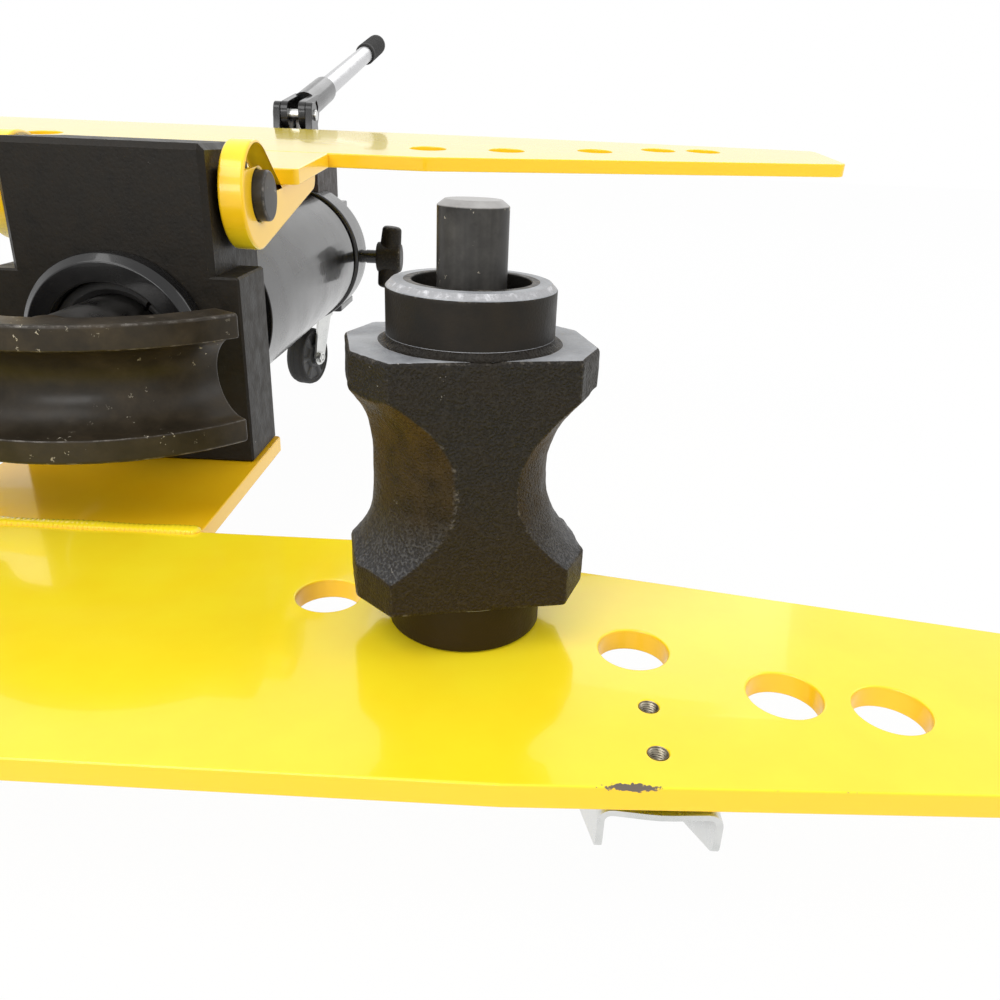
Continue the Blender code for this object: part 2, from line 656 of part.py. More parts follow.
def return_spring():
    """Coil round the rod, between the seat's chamber floor and the piston."""
    floor = SOCKET_DEPTH / 2 + SPRING_WIRE / 2 + GAP
    top = PISTON_BEHIND - SPRING_WIRE / 2 - GAP
    points_per_turn = 9
    count = SPRING_TURNS * points_per_turn + 1
    curve = bpy.data.curves.new("return_spring", "CURVE")
    curve.dimensions = "3D"
    curve.bevel_depth = SPRING_WIRE / 2
    curve.bevel_resolution = 1
    curve.use_fill_caps = True
    spline = curve.splines.new("POLY")
    spline.points.add(count - 1)
    for i, point in enumerate(spline.points):
        angle = 2 * math.pi * i / points_per_turn
        along = floor + (top - floor) * i / (count - 1)
        point.co = (SPRING_RADIUS * math.cos(angle), along, SPRING_RADIUS * math.sin(angle), 1.0)
    spring = bpy.data.objects.new("return_spring", curve)
    spring.location = place(0.0, 0.0, RAM_HEIGHT)
    PARTS.objects.link(spring)
    curve.materials.append(MATERIALS["bright_steel"])


def wing_rest():
    """Saddle and rubber pad on the cylinder, which carry the upper wing when it is swung open."""
    reach = REST_BEHIND - HINGE_BEHIND
    open_tilt = math.pi - WING_OPEN_ANGLE
    plate_over_pin = WING_GAP + PLATE_THICKNESS - HINGE_HEIGHT
    wing_height = HINGE_HEIGHT + reach * math.sin(open_tilt) - plate_over_pin * math.cos(open_tilt)
    half_depth = REST_SIZE[1] / 2
    pad_top = wing_height - half_depth * math.tan(open_tilt) - 2 * GAP
    pad_bottom = pad_top - REST_PAD
    foot = RAM_HEIGHT + CYLINDER_RADIUS / 2
    saddle = box("wing_rest_saddle", (REST_SIZE[0], REST_SIZE[1], pad_bottom - GAP - foot),
                 place(0.0, REST_BEHIND, (pad_bottom - GAP + foot) / 2), "black_paint")
    cut(saddle, cylinder("saddle_cut", CYLINDER_RADIUS + GAP, 2 * REST_SIZE[1],
                         place(0.0, REST_BEHIND, RAM_HEIGHT), "Y"))
    box("wing_rest_pad", (REST_SIZE[0], REST_SIZE[1], REST_PAD),
        place(0.0, REST_BEHIND, (pad_top + pad_bottom) / 2), "rubber", bevel=REST_PAD_EDGE)


def bending_die():
    """Arc-shaped die: a C section with a pipe groove, swept round the middle of the bend."""
    section = [(DIE_RADIUS, DIE_HALF_HEIGHT), (DIE_RADIUS, DIE_GROOVE_RADIUS)]
    groove_steps = 8
    for k in range(1, groove_steps):
        angle = math.pi / 2 + math.pi * k / groove_steps
        section.append((DIE_RADIUS + DIE_GROOVE_RADIUS * math.cos(angle),
                        DIE_GROOVE_RADIUS * math.sin(angle)))
    section += [(DIE_RADIUS, -DIE_GROOVE_RADIUS), (DIE_RADIUS, -DIE_HALF_HEIGHT),
                (DIE_RADIUS - DIE_FLANGE_DEPTH, -DIE_HALF_HEIGHT), (DIE_BACK_RADIUS, -DIE_BACK_HALF_HEIGHT),
                (DIE_BACK_RADIUS, DIE_BACK_HALF_HEIGHT), (DIE_RADIUS - DIE_FLANGE_DEPTH, DIE_HALF_HEIGHT)]
    bm = bmesh.new()
    verts = [bm.verts.new((radius, 0.0, height)) for radius, height in section]
    face = bm.faces.new(verts)
    bmesh.ops.rotate(bm, verts=bm.verts, matrix=Matrix.Rotation(-math.pi / 2 - DIE_HALF_ANGLE, 3, "Z"))
    swept = bmesh.ops.spin(bm, geom=[face], cent=(0, 0, 0), axis=(0, 0, 1),
                           angle=2 * DIE_HALF_ANGLE, steps=DIE_STEPS, use_duplicate=False)
    bmesh.ops.remove_doubles(bm, verts=bm.verts, dist=0.00001)
    inner = [f for f in bm.faces if f != face and f not in swept["geom_last"] and len(f.verts) > 4]
    bmesh.ops.delete(bm, geom=inner, context="FACES_ONLY")
    bmesh.ops.recalc_face_normals(bm, faces=bm.faces)
    mesh = bpy.data.meshes.new("bending_die")
    bm.to_mesh(mesh)
    bm.free()
    mesh.shade_smooth()
    mesh.set_sharp_from_angle(angle=math.radians(35))
    die = register("bending_die", mesh, "blackened_steel", place(0.0, 0.0, RAM_HEIGHT))
    floor_radius = DIE_RADIUS - DIE_GROOVE_RADIUS - DIE_WEB
    boss_length = math.sqrt(floor_radius ** 2 - DIE_BOSS_RADIUS ** 2) - ROD_AHEAD - GAP
    join(die, cylinder("die_boss", DIE_BOSS_RADIUS, boss_length,
                       place(0.0, -ROD_AHEAD - GAP - boss_length / 2, RAM_HEIGHT), "Y"))
    socket_length = NOSE_LENGTH + NOSE_END_GAP
    cut(die, cylinder("die_socket", NOSE_RADIUS + GAP, 2 * socket_length,
                      place(0.0, -ROD_AHEAD, RAM_HEIGHT), "Y", None, SIDES_MEDIUM))
    return die


def groove_cutter(name, side, shape, centre, turn):
    """Half ring that hollows one side of a roller: the groove deepens evenly and flares at its lips."""
    shift, radius, lip, half_height, power = shape
    outer = 2 * ROLLER_HALF_WIDTH
    profile = [(outer, half_height), (outer, -half_height)]
    for k in range(GROOVE_STEPS + 1):
        height = half_height * (2 * k / GROOVE_STEPS - 1)
        profile.append((radius + lip * abs(height / half_height) ** power, height))
    spin = Matrix.Rotation(turn, 3, "Z")
    cutter = turned(name, profile, centre + spin @ Vector((side * shift, 0, 0)), (0.0, 0.0, turn),
                    closed=True)
    keep = box(name + "_half", (2 * outer, 3 * outer, 3 * half_height),
               centre + spin @ Vector((side * outer, 0, 0)), None, (0.0, 0.0, turn))
    return boolean(cutter, keep, "INTERSECT")


def roller(name, side):
    """Square block, the large groove facing the die and the small one facing out, between two round hubs."""
    x, ahead = PIN_STATIONS[ROLLER_STATION]
    base = place(side * x, -ahead, GAP)
    turn = side * ROLLER_TURN
    middle = base + Vector((0, 0, (ROLLER_BLOCK_BOTTOM + ROLLER_BLOCK_TOP) / 2))
    a, b = ROLLER_HALF_WIDTH, ROLLER_HALF_DEPTH
    corner = [(a - ROLLER_CORNER_X, -b), (a, -b + ROLLER_CORNER_Y), (a, b - ROLLER_CORNER_Y),
              (a - ROLLER_CORNER_X, b)]
    outline = corner + [(-x, y) for x, y in reversed(corner)]
    body = plate(name, outline, ROLLER_BLOCK_TOP - ROLLER_BLOCK_BOTTOM, middle, "cast_black", (0, 0, turn))
    for label, shape, groove_side in (("large", LARGE_GROOVE, -side), ("small", SMALL_GROOVE, side)):
        cut(body, groove_cutter(f"{name}_{label}_groove", groove_side, shape, middle, turn))
    hub_profile = [(0.0, ROLLER_HEIGHT), (HUB_RADIUS - HUB_CHAMFER, ROLLER_HEIGHT),
                   (HUB_RADIUS, ROLLER_HEIGHT - HUB_CHAMFER), (HUB_RADIUS, 0.0), (0.0, 0.0)]
    join(body, turned(name + "_hub", hub_profile, base))
    cut(body, cylinder(name + "_bore", ROLLER_BORE_RADIUS, 3 * ROLLER_HEIGHT, base, "Z", None, SIDES_MEDIUM),
        cylinder(name + "_counterbore", COUNTERBORE_RADIUS, 2 * COUNTERBORE_DEPTH,
                 base + Vector((0, 0, ROLLER_HEIGHT))))


def roller_pin(name, side):
    """Loose pin: a shoulder ring on it rests in the roller's counterbore."""
    x, ahead = PIN_STATIONS[ROLLER_STATION]
    ring_bottom = GAP + ROLLER_HEIGHT - COUNTERBORE_DEPTH + GAP
    ring_top = ring_bottom + PIN_RING_LENGTH
    bottom = -PLATE_THICKNESS - PIN_BELOW_PLATE
    slope = PIN_RADIUS - PIN_CHAMFER
    profile = [(0.0, PIN_TOP), (slope, PIN_TOP), (PIN_RADIUS, PIN_TOP - PIN_CHAMFER), (PIN_RADIUS, ring_top),
               (PIN_RING_RADIUS, ring_top), (PIN_RING_RADIUS, ring_bottom), (PIN_RADIUS, ring_bottom),
               (PIN_RADIUS, bottom + PIN_CHAMFER), (slope, bottom), (0.0, bottom)]
    turned(name, profile, place(side * x, -ahead, 0.0), "Z", "blackened_steel", SIDES_MEDIUM)


def lug_outline():
    """Side view of a hinge lug, in distances ahead of the pin and above it, wing closed."""
    sole = WING_GAP + PLATE_THICKNESS - HINGE_HEIGHT + GAP
    neck_back = HINGE_BEHIND + UPPER_NECK_AHEAD
    points = []
    arc_steps = 18
    start = math.pi / 2 - math.asin((LUG_RADIUS - LUG_NOSE_HEIGHT) / LUG_LENGTH)
    end = 1.5 * math.pi + LUG_LOW_ANGLE
    for k in range(arc_steps + 1):
        angle = start + (end - start) * k / arc_steps
        points.append((LUG_RADIUS * math.cos(angle), LUG_RADIUS * math.sin(angle), 0.0))
    points += [(neck_back, sole, 0.0), (LUG_LENGTH, sole, 0.0),
               (LUG_LENGTH - LUG_NOSE_RAKE, LUG_NOSE_HEIGHT, LUG_NOSE_CORNER)]
    return rounded(points)


def upper_wing():
    """Hinged upper wing, modelled closed over the rollers and then swung open about the hinge pin."""
    rear = -WING_FRONT_AHEAD + WING_DEPTH
    top = WING_GAP + PLATE_THICKNESS
    weld_half_width = UPPER_NECK_HALF_WIDTH - LUG_THICKNESS - WELD_END_MARGIN
    pieces = [wing_plate("upper_wing_plate", top, False),
              neck("upper_neck_plate", UPPER_NECK_HALF_WIDTH, rear + GAP, -UPPER_NECK_AHEAD, top),
              weld_bead("upper_neck_weld", weld_half_width, rear, top)]
    inside = TOWER_HALF_WIDTH + LUG_SIDE_GAP
    for label, side in (("left", -1), ("right", 1)):
        x = side * (inside + LUG_THICKNESS / 2)
        lug = plate(f"hinge_lug_{label}", lug_outline(), LUG_THICKNESS,
                    place(x, HINGE_BEHIND, HINGE_HEIGHT), "yellow_paint", SIDE_VIEW_AHEAD)
        cut(lug, cylinder(f"lug_bore_{label}", HINGE_PIN_RADIUS + GAP, 2 * LUG_THICKNESS,
                          place(x, HINGE_BEHIND, HINGE_HEIGHT), "X", None, SIDES_MEDIUM))
        pieces.append(lug)
    pivot = carry("upper_wing_hinge", place(0.0, HINGE_BEHIND, HINGE_HEIGHT), *pieces)
    pivot.rotation_euler = (-WING_OPEN_ANGLE, 0.0, 0.0)
    reach = inside + LUG_THICKNESS + HINGE_PIN_PROUD
    cylinder("hinge_pin", HINGE_PIN_RADIUS, 2 * reach, place(0.0, HINGE_BEHIND, HINGE_HEIGHT), "X",
             "blackened_steel", SIDES_MEDIUM, bevel=HINGE_PIN_EDGE)


def wheel(name, radius, width, centre, across):
    """Rubber-tyred wheel with dished sides and rounded shoulders, bored for its axle bolt."""
    half = width / 2
    rim = radius - TYRE_DEPTH
    hub = WHEEL_HUB_SHARE * rim
    floor = half - WHEEL_DISH
    bore = AXLE_RADIUS + GAP
    rounding, shoulder = TYRE_SHOULDER
    side = [(bore, half), (hub, half), (hub + WHEEL_DISH, floor), (rim, floor),
            (radius - rounding, half - rounding), (radius, half - shoulder)]
    profile = side + [(r, -h) for r, h in reversed(side)]
    return turned(name, profile, centre, across, "rubber", SIDES_WHEEL, closed=True)


def axle_set(prefix, centre, across, half_grip):
    """Hexagon bolt through both legs, its head at the far end of the axis, and its nut."""
    direction = Matrix.Rotation(across[2], 3, "Z") @ Vector((1, 0, 0))
    stand = half_grip + GAP + AXLE_HEAD_HEIGHT / 2
    bolt = cylinder(f"{prefix}_axle_bolt", AXLE_HEAD_RADIUS, AXLE_HEAD_HEIGHT, centre + stand * direction,
                    across, "zinc", 6)
    shank_length = 2 * stand + AXLE_HEAD_HEIGHT
    join(bolt, cylinder(f"{prefix}_axle_shank", AXLE_RADIUS, shank_length,
                        centre - direction * AXLE_HEAD_HEIGHT / 2, across, None, SIDES_SMALL))
    nut = cylinder(f"{prefix}_axle_nut", AXLE_HEAD_RADIUS, AXLE_HEAD_HEIGHT, centre - stand * direction,
                   across, "zinc", 6)
    cut(nut, cylinder(f"{prefix}_nut_bore", AXLE_RADIUS + GAP, 4 * AXLE_HEAD_HEIGHT, nut.location, across,
                      None, SIDES_SMALL))
    return bolt, nut


def bracket_section():
    """Inverted U seen from the front, its top dipping in the middle, with rounded shoulders."""
    half, sheet, corner, sag = BRACKET_HALF_WIDTH, BRACKET_SHEET, BRACKET_CORNER, BRACKET_SAG_RADIUS
    drop = GROUND_CLEARANCE
    outer = [(-half, -drop, 0.0), (-half, 0.0, corner), (0.0, -BRACKET_DIP, sag), (half, 0.0, corner),
             (half, -drop, 0.0)]
    inner = [(half - sheet, -drop, 0.0), (half - sheet, -sheet, corner - sheet),
             (0.0, -BRACKET_DIP - sheet, sag), (sheet - half, -sheet, corner - sheet),
             (sheet - half, -drop, 0.0)]
    return rounded(outer + inner)


def bracket_side():
    """Side view of the bracket, in distances behind its middle and below the wing: legs raked back."""
    half = BRACKET_LENGTH / 2
    axle = BRACKET_AHEAD - AXLE_AHEAD
    foot = GROUND_CLEARANCE - WHEEL_RADIUS + LEG_BELOW_AXLE
    above = 0.010
    front_waist, front_toe, rear_toe, rear_waist = 0.006, 0.010, 0.012, 0.020
    return rounded([(-half, above, 0.0), (-half, -BRACKET_WAIST, front_waist),
                    (axle - LEG_HALF_LENGTH, -foot, front_toe), (axle + LEG_HALF_LENGTH, -foot, rear_toe),
                    (half, -BRACKET_WAIST, rear_waist), (half, above, 0.0)])


def front_casters():
    """A fixed caster under each wing: folded bracket, wheel, axle set and two screws from below."""
    for label, side in (("left", -1), ("right", 1)):
        prefix = f"front_caster_{label}"
        centre = place(side * BRACKET_X, -BRACKET_AHEAD, -PLATE_THICKNESS - GAP)
        bracket = plate(f"{prefix}_bracket", bracket_section(), 2 * BRACKET_LENGTH, centre, "zinc",
                        FACING_AHEAD)
        trim = plate(f"{prefix}_side", bracket_side(), 3 * BRACKET_HALF_WIDTH, centre, None, SIDE_VIEW)
        boolean(bracket, trim, "INTERSECT")
        across = AXIS_TURNS["X"]
        axle = Vector((centre.x, place(0, -AXLE_AHEAD, 0).y, WHEEL_RADIUS))
        cut(bracket, cylinder(f"{prefix}_axle_hole", AXLE_RADIUS + GAP, 4 * BRACKET_HALF_WIDTH, axle,
                              across, None, SIDES_SMALL))
        for end, shift in (("front", -CASTER_SCREW_PITCH / 2), ("rear", CASTER_SCREW_PITCH / 2)):
            spot = centre + Vector((0, shift, 0))
            grip = PLATE_THICKNESS + BRACKET_SHEET
            cut(bracket, cylinder(f"{prefix}_{end}_hole", CASTER_SCREW_RADIUS + GAP, 2 * grip, spot, "Z",
                                  None, SIDES_SMALL))
            hex_bolt(f"{prefix}_{end}_screw", CASTER_SCREW_RADIUS, grip,
                     spot - Vector((0, 0, BRACKET_DIP + BRACKET_SHEET + GAP)), CASTER_SCREW_HEAD)
        axle_set(prefix, axle, across, BRACKET_HALF_WIDTH)
        wheel(f"{prefix}_wheel", WHEEL_RADIUS, WHEEL_WIDTH, axle, across)


def rear_caster():
    """Swivel caster under the pump end: top plate with its bearing cup, fork, wheel and axle set."""
    base = place(0.0, REAR_CASTER_BEHIND, 0.0)
    top = Vector((0.0, base.y, REAR_CASTER_HEIGHT - GAP))
    thickness = REAR_TOP_PLATE[2]
    head = box("rear_caster_top_plate", REAR_TOP_PLATE, top - Vector((0, 0, thickness / 2)), "zinc")
    cup_overlap = 0.001
    cup_bottom = thickness + REAR_CUP_DEPTH - cup_overlap
    join(head, cylinder("rear_caster_cup", REAR_CUP_RADIUS - REAR_CUP_TAPER, REAR_CUP_DEPTH,
                        top - Vector((0, 0, cup_bottom - REAR_CUP_DEPTH / 2)), "Z", None, SIDES_MEDIUM,
                        tip=REAR_CUP_RADIUS))
    turn = REAR_CASTER_TURN
    spin = Matrix.Rotation(turn, 3, "Z")
    crown = top - Vector((0, 0, cup_bottom + GAP + REAR_FORK_SHEET / 2))
    fork = cylinder("rear_caster_fork", REAR_CROWN_RADIUS, REAR_FORK_SHEET, crown, "Z", "zinc", SIDES_MEDIUM)
    inside = REAR_WHEEL_WIDTH / 2 + REAR_FORK_SIDE_GAP
    axle = spin @ Vector((0, REAR_TRAIL, 0)) + Vector((0, base.y, REAR_WHEEL_RADIUS))
    foot = axle.z - crown.z - REAR_FOOT_RADIUS
    crown_inset = 0.001
    reach = math.sqrt(REAR_CROWN_RADIUS ** 2 - (inside + REAR_FORK_SHEET) ** 2) - crown_inset
    outline = rounded([(-reach, 0.0, 0.0), (reach, 0.0, 0.0),
                       (REAR_TRAIL + REAR_FOOT_RADIUS, foot, REAR_FOOT_CORNER),
                       (REAR_TRAIL - REAR_FOOT_RADIUS, foot, REAR_FOOT_CORNER)])
    for label, side in (("a", -1), ("b", 1)):
        join(fork, plate(f"rear_caster_leg_{label}", outline, REAR_FORK_SHEET,
                         crown + spin @ Vector((side * (inside + REAR_FORK_SHEET / 2), 0, 0)), None,
                         (math.pi / 2, 0.0, math.pi / 2 + turn)))
    across = (0.0, math.pi / 2, turn)
    cut(fork, cylinder("rear_caster_axle_hole", AXLE_RADIUS + GAP, 4 * REAR_WHEEL_WIDTH, axle, across,
                       None, SIDES_SMALL))
    bolt, nut = axle_set("rear_caster", axle, across, inside + REAR_FORK_SHEET)
    roll = wheel("rear_caster_wheel", REAR_WHEEL_RADIUS, REAR_WHEEL_WIDTH, axle, across)
    carry("rear_caster_swivel", top, fork, bolt, nut, roll)


def rear_stand():
    """Base plate under the valve block, on the swivel caster."""
    start = BLOCK_START + BASE_PLATE_SET_BACK
    bottom = REAR_CASTER_HEIGHT - PLATE_TOP
    box("rear_base_plate", BASE_PLATE,
        place(0.0, start + BASE_PLATE[1] / 2, bottom + BASE_PLATE[2] / 2), "black_paint", bevel=0.001)
    rear_caster()


def pump():
    """Valve block, the pump housing that saddles the flange, the plunger's well and the filler plug."""
    block_bottom = REAR_CASTER_HEIGHT - PLATE_TOP + BASE_PLATE[2] + GAP
    block_top = PUMP_BOTTOM - GAP
    block = box("valve_block", (2 * VALVE_BLOCK_HALF_WIDTH, VALVE_BLOCK_DEPTH, block_top - block_bottom),
                place(0.0, BLOCK_START + VALVE_BLOCK_DEPTH / 2, (block_top + block_bottom) / 2),
                "black_paint", bevel=VALVE_BLOCK_EDGE)
    housing_start = PUMP_START + PUMP_SET_BACK
    housing = box("pump_housing", (2 * PUMP_HALF_WIDTH, PUMP_DEPTH, PUMP_TOP - PUMP_BOTTOM),
                  place(0.0, housing_start + PUMP_DEPTH / 2, (PUMP_TOP + PUMP_BOTTOM) / 2),
                  "black_paint", bevel=PUMP_EDGE)
    cut(housing, cylinder("housing_saddle", FLANGE_RADIUS + GAP, 2 * (BLOCK_START - housing_start),
                          place(0.0, housing_start, RAM_HEIGHT), "Y"))
    for piece in (housing, block):
        cut(piece, cylinder(f"{piece.name}_well", PLUNGER_RADIUS + GAP, 2 * PLUNGER_WELL_DEPTH,
                            place(0.0, PLUNGER_BEHIND, PUMP_TOP), "Z", None, SIDES_MEDIUM))
    mouth = place(-PLUG_X, PLUNGER_BEHIND + PLUG_BEHIND_PLUNGER, PUMP_TOP)
    cut(housing, cylinder("plug_hole", PLUG_THREAD_RADIUS + GAP, 2 * (PLUG_THREAD_DEPTH + PLUG_END_GAP),
                          mouth, "Z", None, SIDES_MEDIUM))
    half_head = PLUG_HEAD_HEIGHT / 2
    plug = cylinder("filler_plug", PLUG_RADIUS, PLUG_HEAD_HEIGHT, mouth + Vector((0, 0, half_head + GAP)),
                    "Z", "zinc", 6)
    join(plug, cylinder("plug_thread", PLUG_THREAD_RADIUS, PLUG_THREAD_DEPTH + half_head,
                        mouth + Vector((0, 0, (half_head - PLUG_THREAD_DEPTH) / 2)), "Z", None, SIDES_MEDIUM))


def lever_bracket():
    """Two cheeks on a foot that stands on the housing; they carry the lever's pivot pin."""
    pivot = place(0.0, LEVER_PIVOT_BEHIND, LEVER_PIVOT_HEIGHT)
    inside = LEVER_CHEEK_INSIDE + LEVER_CHEEK + 2 * GAP
    outside = inside + LEVER_CHEEK
    foot_middle = CHEEK_FOOT_TOP - CHEEK_FOOT_HEIGHT / 2 - LEVER_PIVOT_HEIGHT
    foot = box("lever_bracket",
               (2 * (outside + CHEEK_FOOT_RIM), 2 * CHEEK_FOOT_HALF_LENGTH, CHEEK_FOOT_HEIGHT),
               pivot + Vector((0, 0, foot_middle)), "black_paint")
    bottom, top = CHEEK_FOOT_HALF_LENGTH - CHEEK_FOOT_RIM, CHEEK_TOP_HALF_LENGTH
    outline = rounded([(-bottom, foot_middle, 0.0), (bottom, foot_middle, 0.0),
                       (top, CHEEK_TOP, CHEEK_CORNER), (-top, CHEEK_TOP, CHEEK_CORNER)])
    for label, side in (("a", -1), ("b", 1)):
        join(foot, plate(f"bracket_cheek_{label}", outline, LEVER_CHEEK,
                         pivot + Vector((side * (inside + LEVER_CHEEK / 2), 0, 0)), None, SIDE_VIEW))
    cut(foot, cylinder("bracket_bore", LEVER_PIVOT_RADIUS + GAP, 4 * outside, pivot, "X", None, SIDES_MEDIUM))
    cylinder("lever_pivot_pin", LEVER_PIVOT_RADIUS, 2 * (outside + LEVER_PIVOT_PROUD), pivot, "X",
             "zinc", SIDES_MEDIUM, bevel=0.001)


def lever():
    """Forked lever with its handle socket and link pin, and the loose handle tube with its grip."""
    pivot = place(0.0, LEVER_PIVOT_BEHIND, LEVER_PIVOT_HEIGHT)
    arm = Vector((0, LEVER_ARM * math.cos(LEVER_DROP_ANGLE), -LEVER_ARM * math.sin(LEVER_DROP_ANGLE)))
    along = Vector((0, math.cos(SOCKET_ANGLE), math.sin(SOCKET_ANGLE)))
    lean = (SOCKET_ANGLE - math.pi / 2, 0.0, 0.0)
    tail = (SOCKET_START + LEVER_TAIL) * along
    outline = rounded([(-LEVER_HUB, -LEVER_HUB, LEVER_CORNER),
                       (arm.y + LEVER_LINK_REACH, arm.z - LEVER_LINK_DROP, LEVER_CORNER),
                       (tail.y, tail.z - LEVER_TAIL, 0.0), (tail.y, tail.z + LEVER_TAIL, 0.0),
                       (-LEVER_HUB, LEVER_HUB, LEVER_CORNER)])
    tube_middle = pivot + along * (SOCKET_START + SOCKET_TUBE_LENGTH / 2)
    socket = cylinder("lever_socket", SOCKET_TUBE_RADIUS, SOCKET_TUBE_LENGTH, tube_middle, lean,
                      "black_paint", SIDES_MEDIUM)
    for label, side in (("a", -1), ("b", 1)):
        middle = pivot + Vector((side * (LEVER_CHEEK_INSIDE + LEVER_CHEEK / 2), 0, 0))
        join(socket, plate(f"lever_cheek_{label}", outline, LEVER_CHEEK, middle, None, SIDE_VIEW))
    outside = LEVER_CHEEK_INSIDE + LEVER_CHEEK
    cut(socket, cylinder("socket_bore", HANDLE_RADIUS + GAP, 2 * (HANDLE_INSERT + GAP),
                         pivot + along * (SOCKET_START + SOCKET_TUBE_LENGTH), lean, None, SIDES_MEDIUM),
        cylinder("socket_pivot_bore", LEVER_PIVOT_RADIUS + GAP, 4 * outside, pivot, "X", None, SIDES_MEDIUM),
        cylinder("socket_link_bore", LINK_PIN_RADIUS + GAP, 4 * outside, pivot + arm, "X", None, SIDES_SMALL))
    link_pin = cylinder("plunger_link_pin", LINK_PIN_RADIUS, 2 * (outside + LINK_PIN_PROUD), pivot + arm, "X",
                        "zinc", SIDES_SMALL)
    handle_start = SOCKET_START + SOCKET_TUBE_LENGTH - HANDLE_INSERT
    handle = ring("lever_handle", HANDLE_RADIUS, HANDLE_RADIUS - HANDLE_WALL, HANDLE_LENGTH,
                  pivot + along * (handle_start + HANDLE_LENGTH / 2), lean, "zinc", SIDES_MEDIUM)
    grip = ring("lever_grip", GRIP_RADIUS, HANDLE_RADIUS + GAP, GRIP_LENGTH,
                pivot + along * (GRIP_END - GRIP_LENGTH / 2), lean, "rubber", SIDES_MEDIUM, GRIP_CHAMFER)
    carry("lever_pivot", pivot, socket, link_pin, handle, grip)
    pump_plunger(pivot + arm)


def pump_plunger(link):
    """Plunger under the link pin: a round rod, and a flat tongue whose hole leaves the pin some play."""
    link_height = link.z - PLATE_TOP
    rod_top = link_height - TONGUE_DROP
    rod_bottom = PUMP_TOP - PLUNGER_DEPTH
    rod_middle = place(0.0, PLUNGER_BEHIND, (rod_top + rod_bottom) / 2)
    plunger = cylinder("pump_plunger", PLUNGER_RADIUS, rod_top - rod_bottom, rod_middle, "Z",
                       "bright_steel", SIDES_MEDIUM)
    half, low = TONGUE_RADIUS, -TONGUE_DROP - TONGUE_OVERLAP
    outline = rounded([(-half, low, 0.0), (half, low, 0.0), (half, half, TONGUE_CORNER),
                       (-half, half, TONGUE_CORNER)])
    join(plunger, plate("plunger_tongue", outline, TONGUE_THICKNESS, link, None, SIDE_VIEW))
    cut(plunger, cylinder("tongue_hole", TONGUE_HOLE_RADIUS, 4 * TONGUE_THICKNESS, link, "X", None,
                          SIDES_MEDIUM))


def release_valve():
    """Valve stem in the flange's side, with its T-shaped knob."""
    seat_x = FLANGE_RADIUS - VALVE_STEM_DEPTH
    face_x = FLANGE_RADIUS + VALVE_STEM_PROUD
    centre = place(0.0, VALVE_BEHIND, RAM_HEIGHT)
    stem = cylinder("release_valve_stem", VALVE_STEM_RADIUS, face_x - seat_x,
                    centre + Vector(((face_x + seat_x) / 2, 0, 0)), "X", "black_paint", SIDES_MEDIUM)
    hub_centre = centre + Vector((face_x + GAP + KNOB_HUB_LENGTH / 2 - KNOB_OVERLAP, 0, 0))
    knob = cylinder("release_knob", KNOB_HUB_RADIUS, KNOB_HUB_LENGTH, hub_centre, "X", "black_paint",
                    SIDES_MEDIUM, bevel=KNOB_EDGE)
    for label, side in (("up", 1), ("down", -1)):
        lean = (0.0, KNOB_TILT if side > 0 else math.pi + KNOB_TILT, 0.0)
        direction = Matrix.Rotation(KNOB_TILT, 3, "Y") @ Vector((0, 0, side))
        arm = cylinder(f"knob_arm_{label}", KNOB_ROOT_RADIUS, KNOB_HALF_SPAN,
                       hub_centre + direction * KNOB_HALF_SPAN / 2, lean, None, SIDES_MEDIUM,
                       bevel=KNOB_EDGE, tip=KNOB_TIP_RADIUS)
        join(knob, arm)
    cut(knob, cylinder("knob_socket", VALVE_STEM_RADIUS + GAP, 2 * KNOB_OVERLAP,
                       centre + Vector((face_x - KNOB_OVERLAP + GAP, 0, 0)), "X", None, SIDES_MEDIUM))
    carry("release_valve_turn", centre, stem, knob)


def build():
    lower_deck()
    seat()
    collar_and_wiper()
    ram_pieces = cylinder_assembly()
    return_spring()
    wing_rest()
    die = bending_die()
    carry("ram_slide", place(0.0, 0.0, RAM_HEIGHT), die, *ram_pieces)
    for label, side in (("left", -1), ("right", 1)):
        roller(f"bending_roller_{label}", side)
        roller_pin(f"roller_pin_{label}", side)
    upper_wing()
    front_casters()
    rear_stand()
    pump()
    lever_bracket()
    lever()
    release_valve()


build()
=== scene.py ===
import json
import math

import bmesh
import bpy
import numpy as np
from mathutils import Matrix, Vector
from mathutils.geometry import tessellate_polygon


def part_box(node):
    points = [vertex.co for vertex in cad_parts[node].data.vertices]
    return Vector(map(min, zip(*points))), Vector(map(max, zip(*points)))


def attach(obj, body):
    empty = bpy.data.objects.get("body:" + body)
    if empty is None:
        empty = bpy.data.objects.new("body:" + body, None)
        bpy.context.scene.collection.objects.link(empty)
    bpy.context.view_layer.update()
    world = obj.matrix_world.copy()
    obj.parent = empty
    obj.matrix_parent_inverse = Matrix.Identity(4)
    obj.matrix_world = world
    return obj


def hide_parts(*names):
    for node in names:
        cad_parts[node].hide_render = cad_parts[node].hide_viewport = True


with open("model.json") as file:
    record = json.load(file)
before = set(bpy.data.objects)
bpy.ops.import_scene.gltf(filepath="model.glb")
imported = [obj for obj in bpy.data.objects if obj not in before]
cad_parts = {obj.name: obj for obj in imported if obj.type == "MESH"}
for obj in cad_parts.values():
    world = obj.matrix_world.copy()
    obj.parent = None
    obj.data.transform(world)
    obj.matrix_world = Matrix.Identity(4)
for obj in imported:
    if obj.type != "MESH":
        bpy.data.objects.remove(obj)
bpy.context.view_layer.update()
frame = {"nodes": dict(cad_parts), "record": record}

# An open-wing hydraulic pipe bender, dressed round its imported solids.
# Lengths are in metres. Behind is measured from the seat's front face, height from the lower deck.
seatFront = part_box("seat_block")[0].y
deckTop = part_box("lower_wing_plate")[1].z
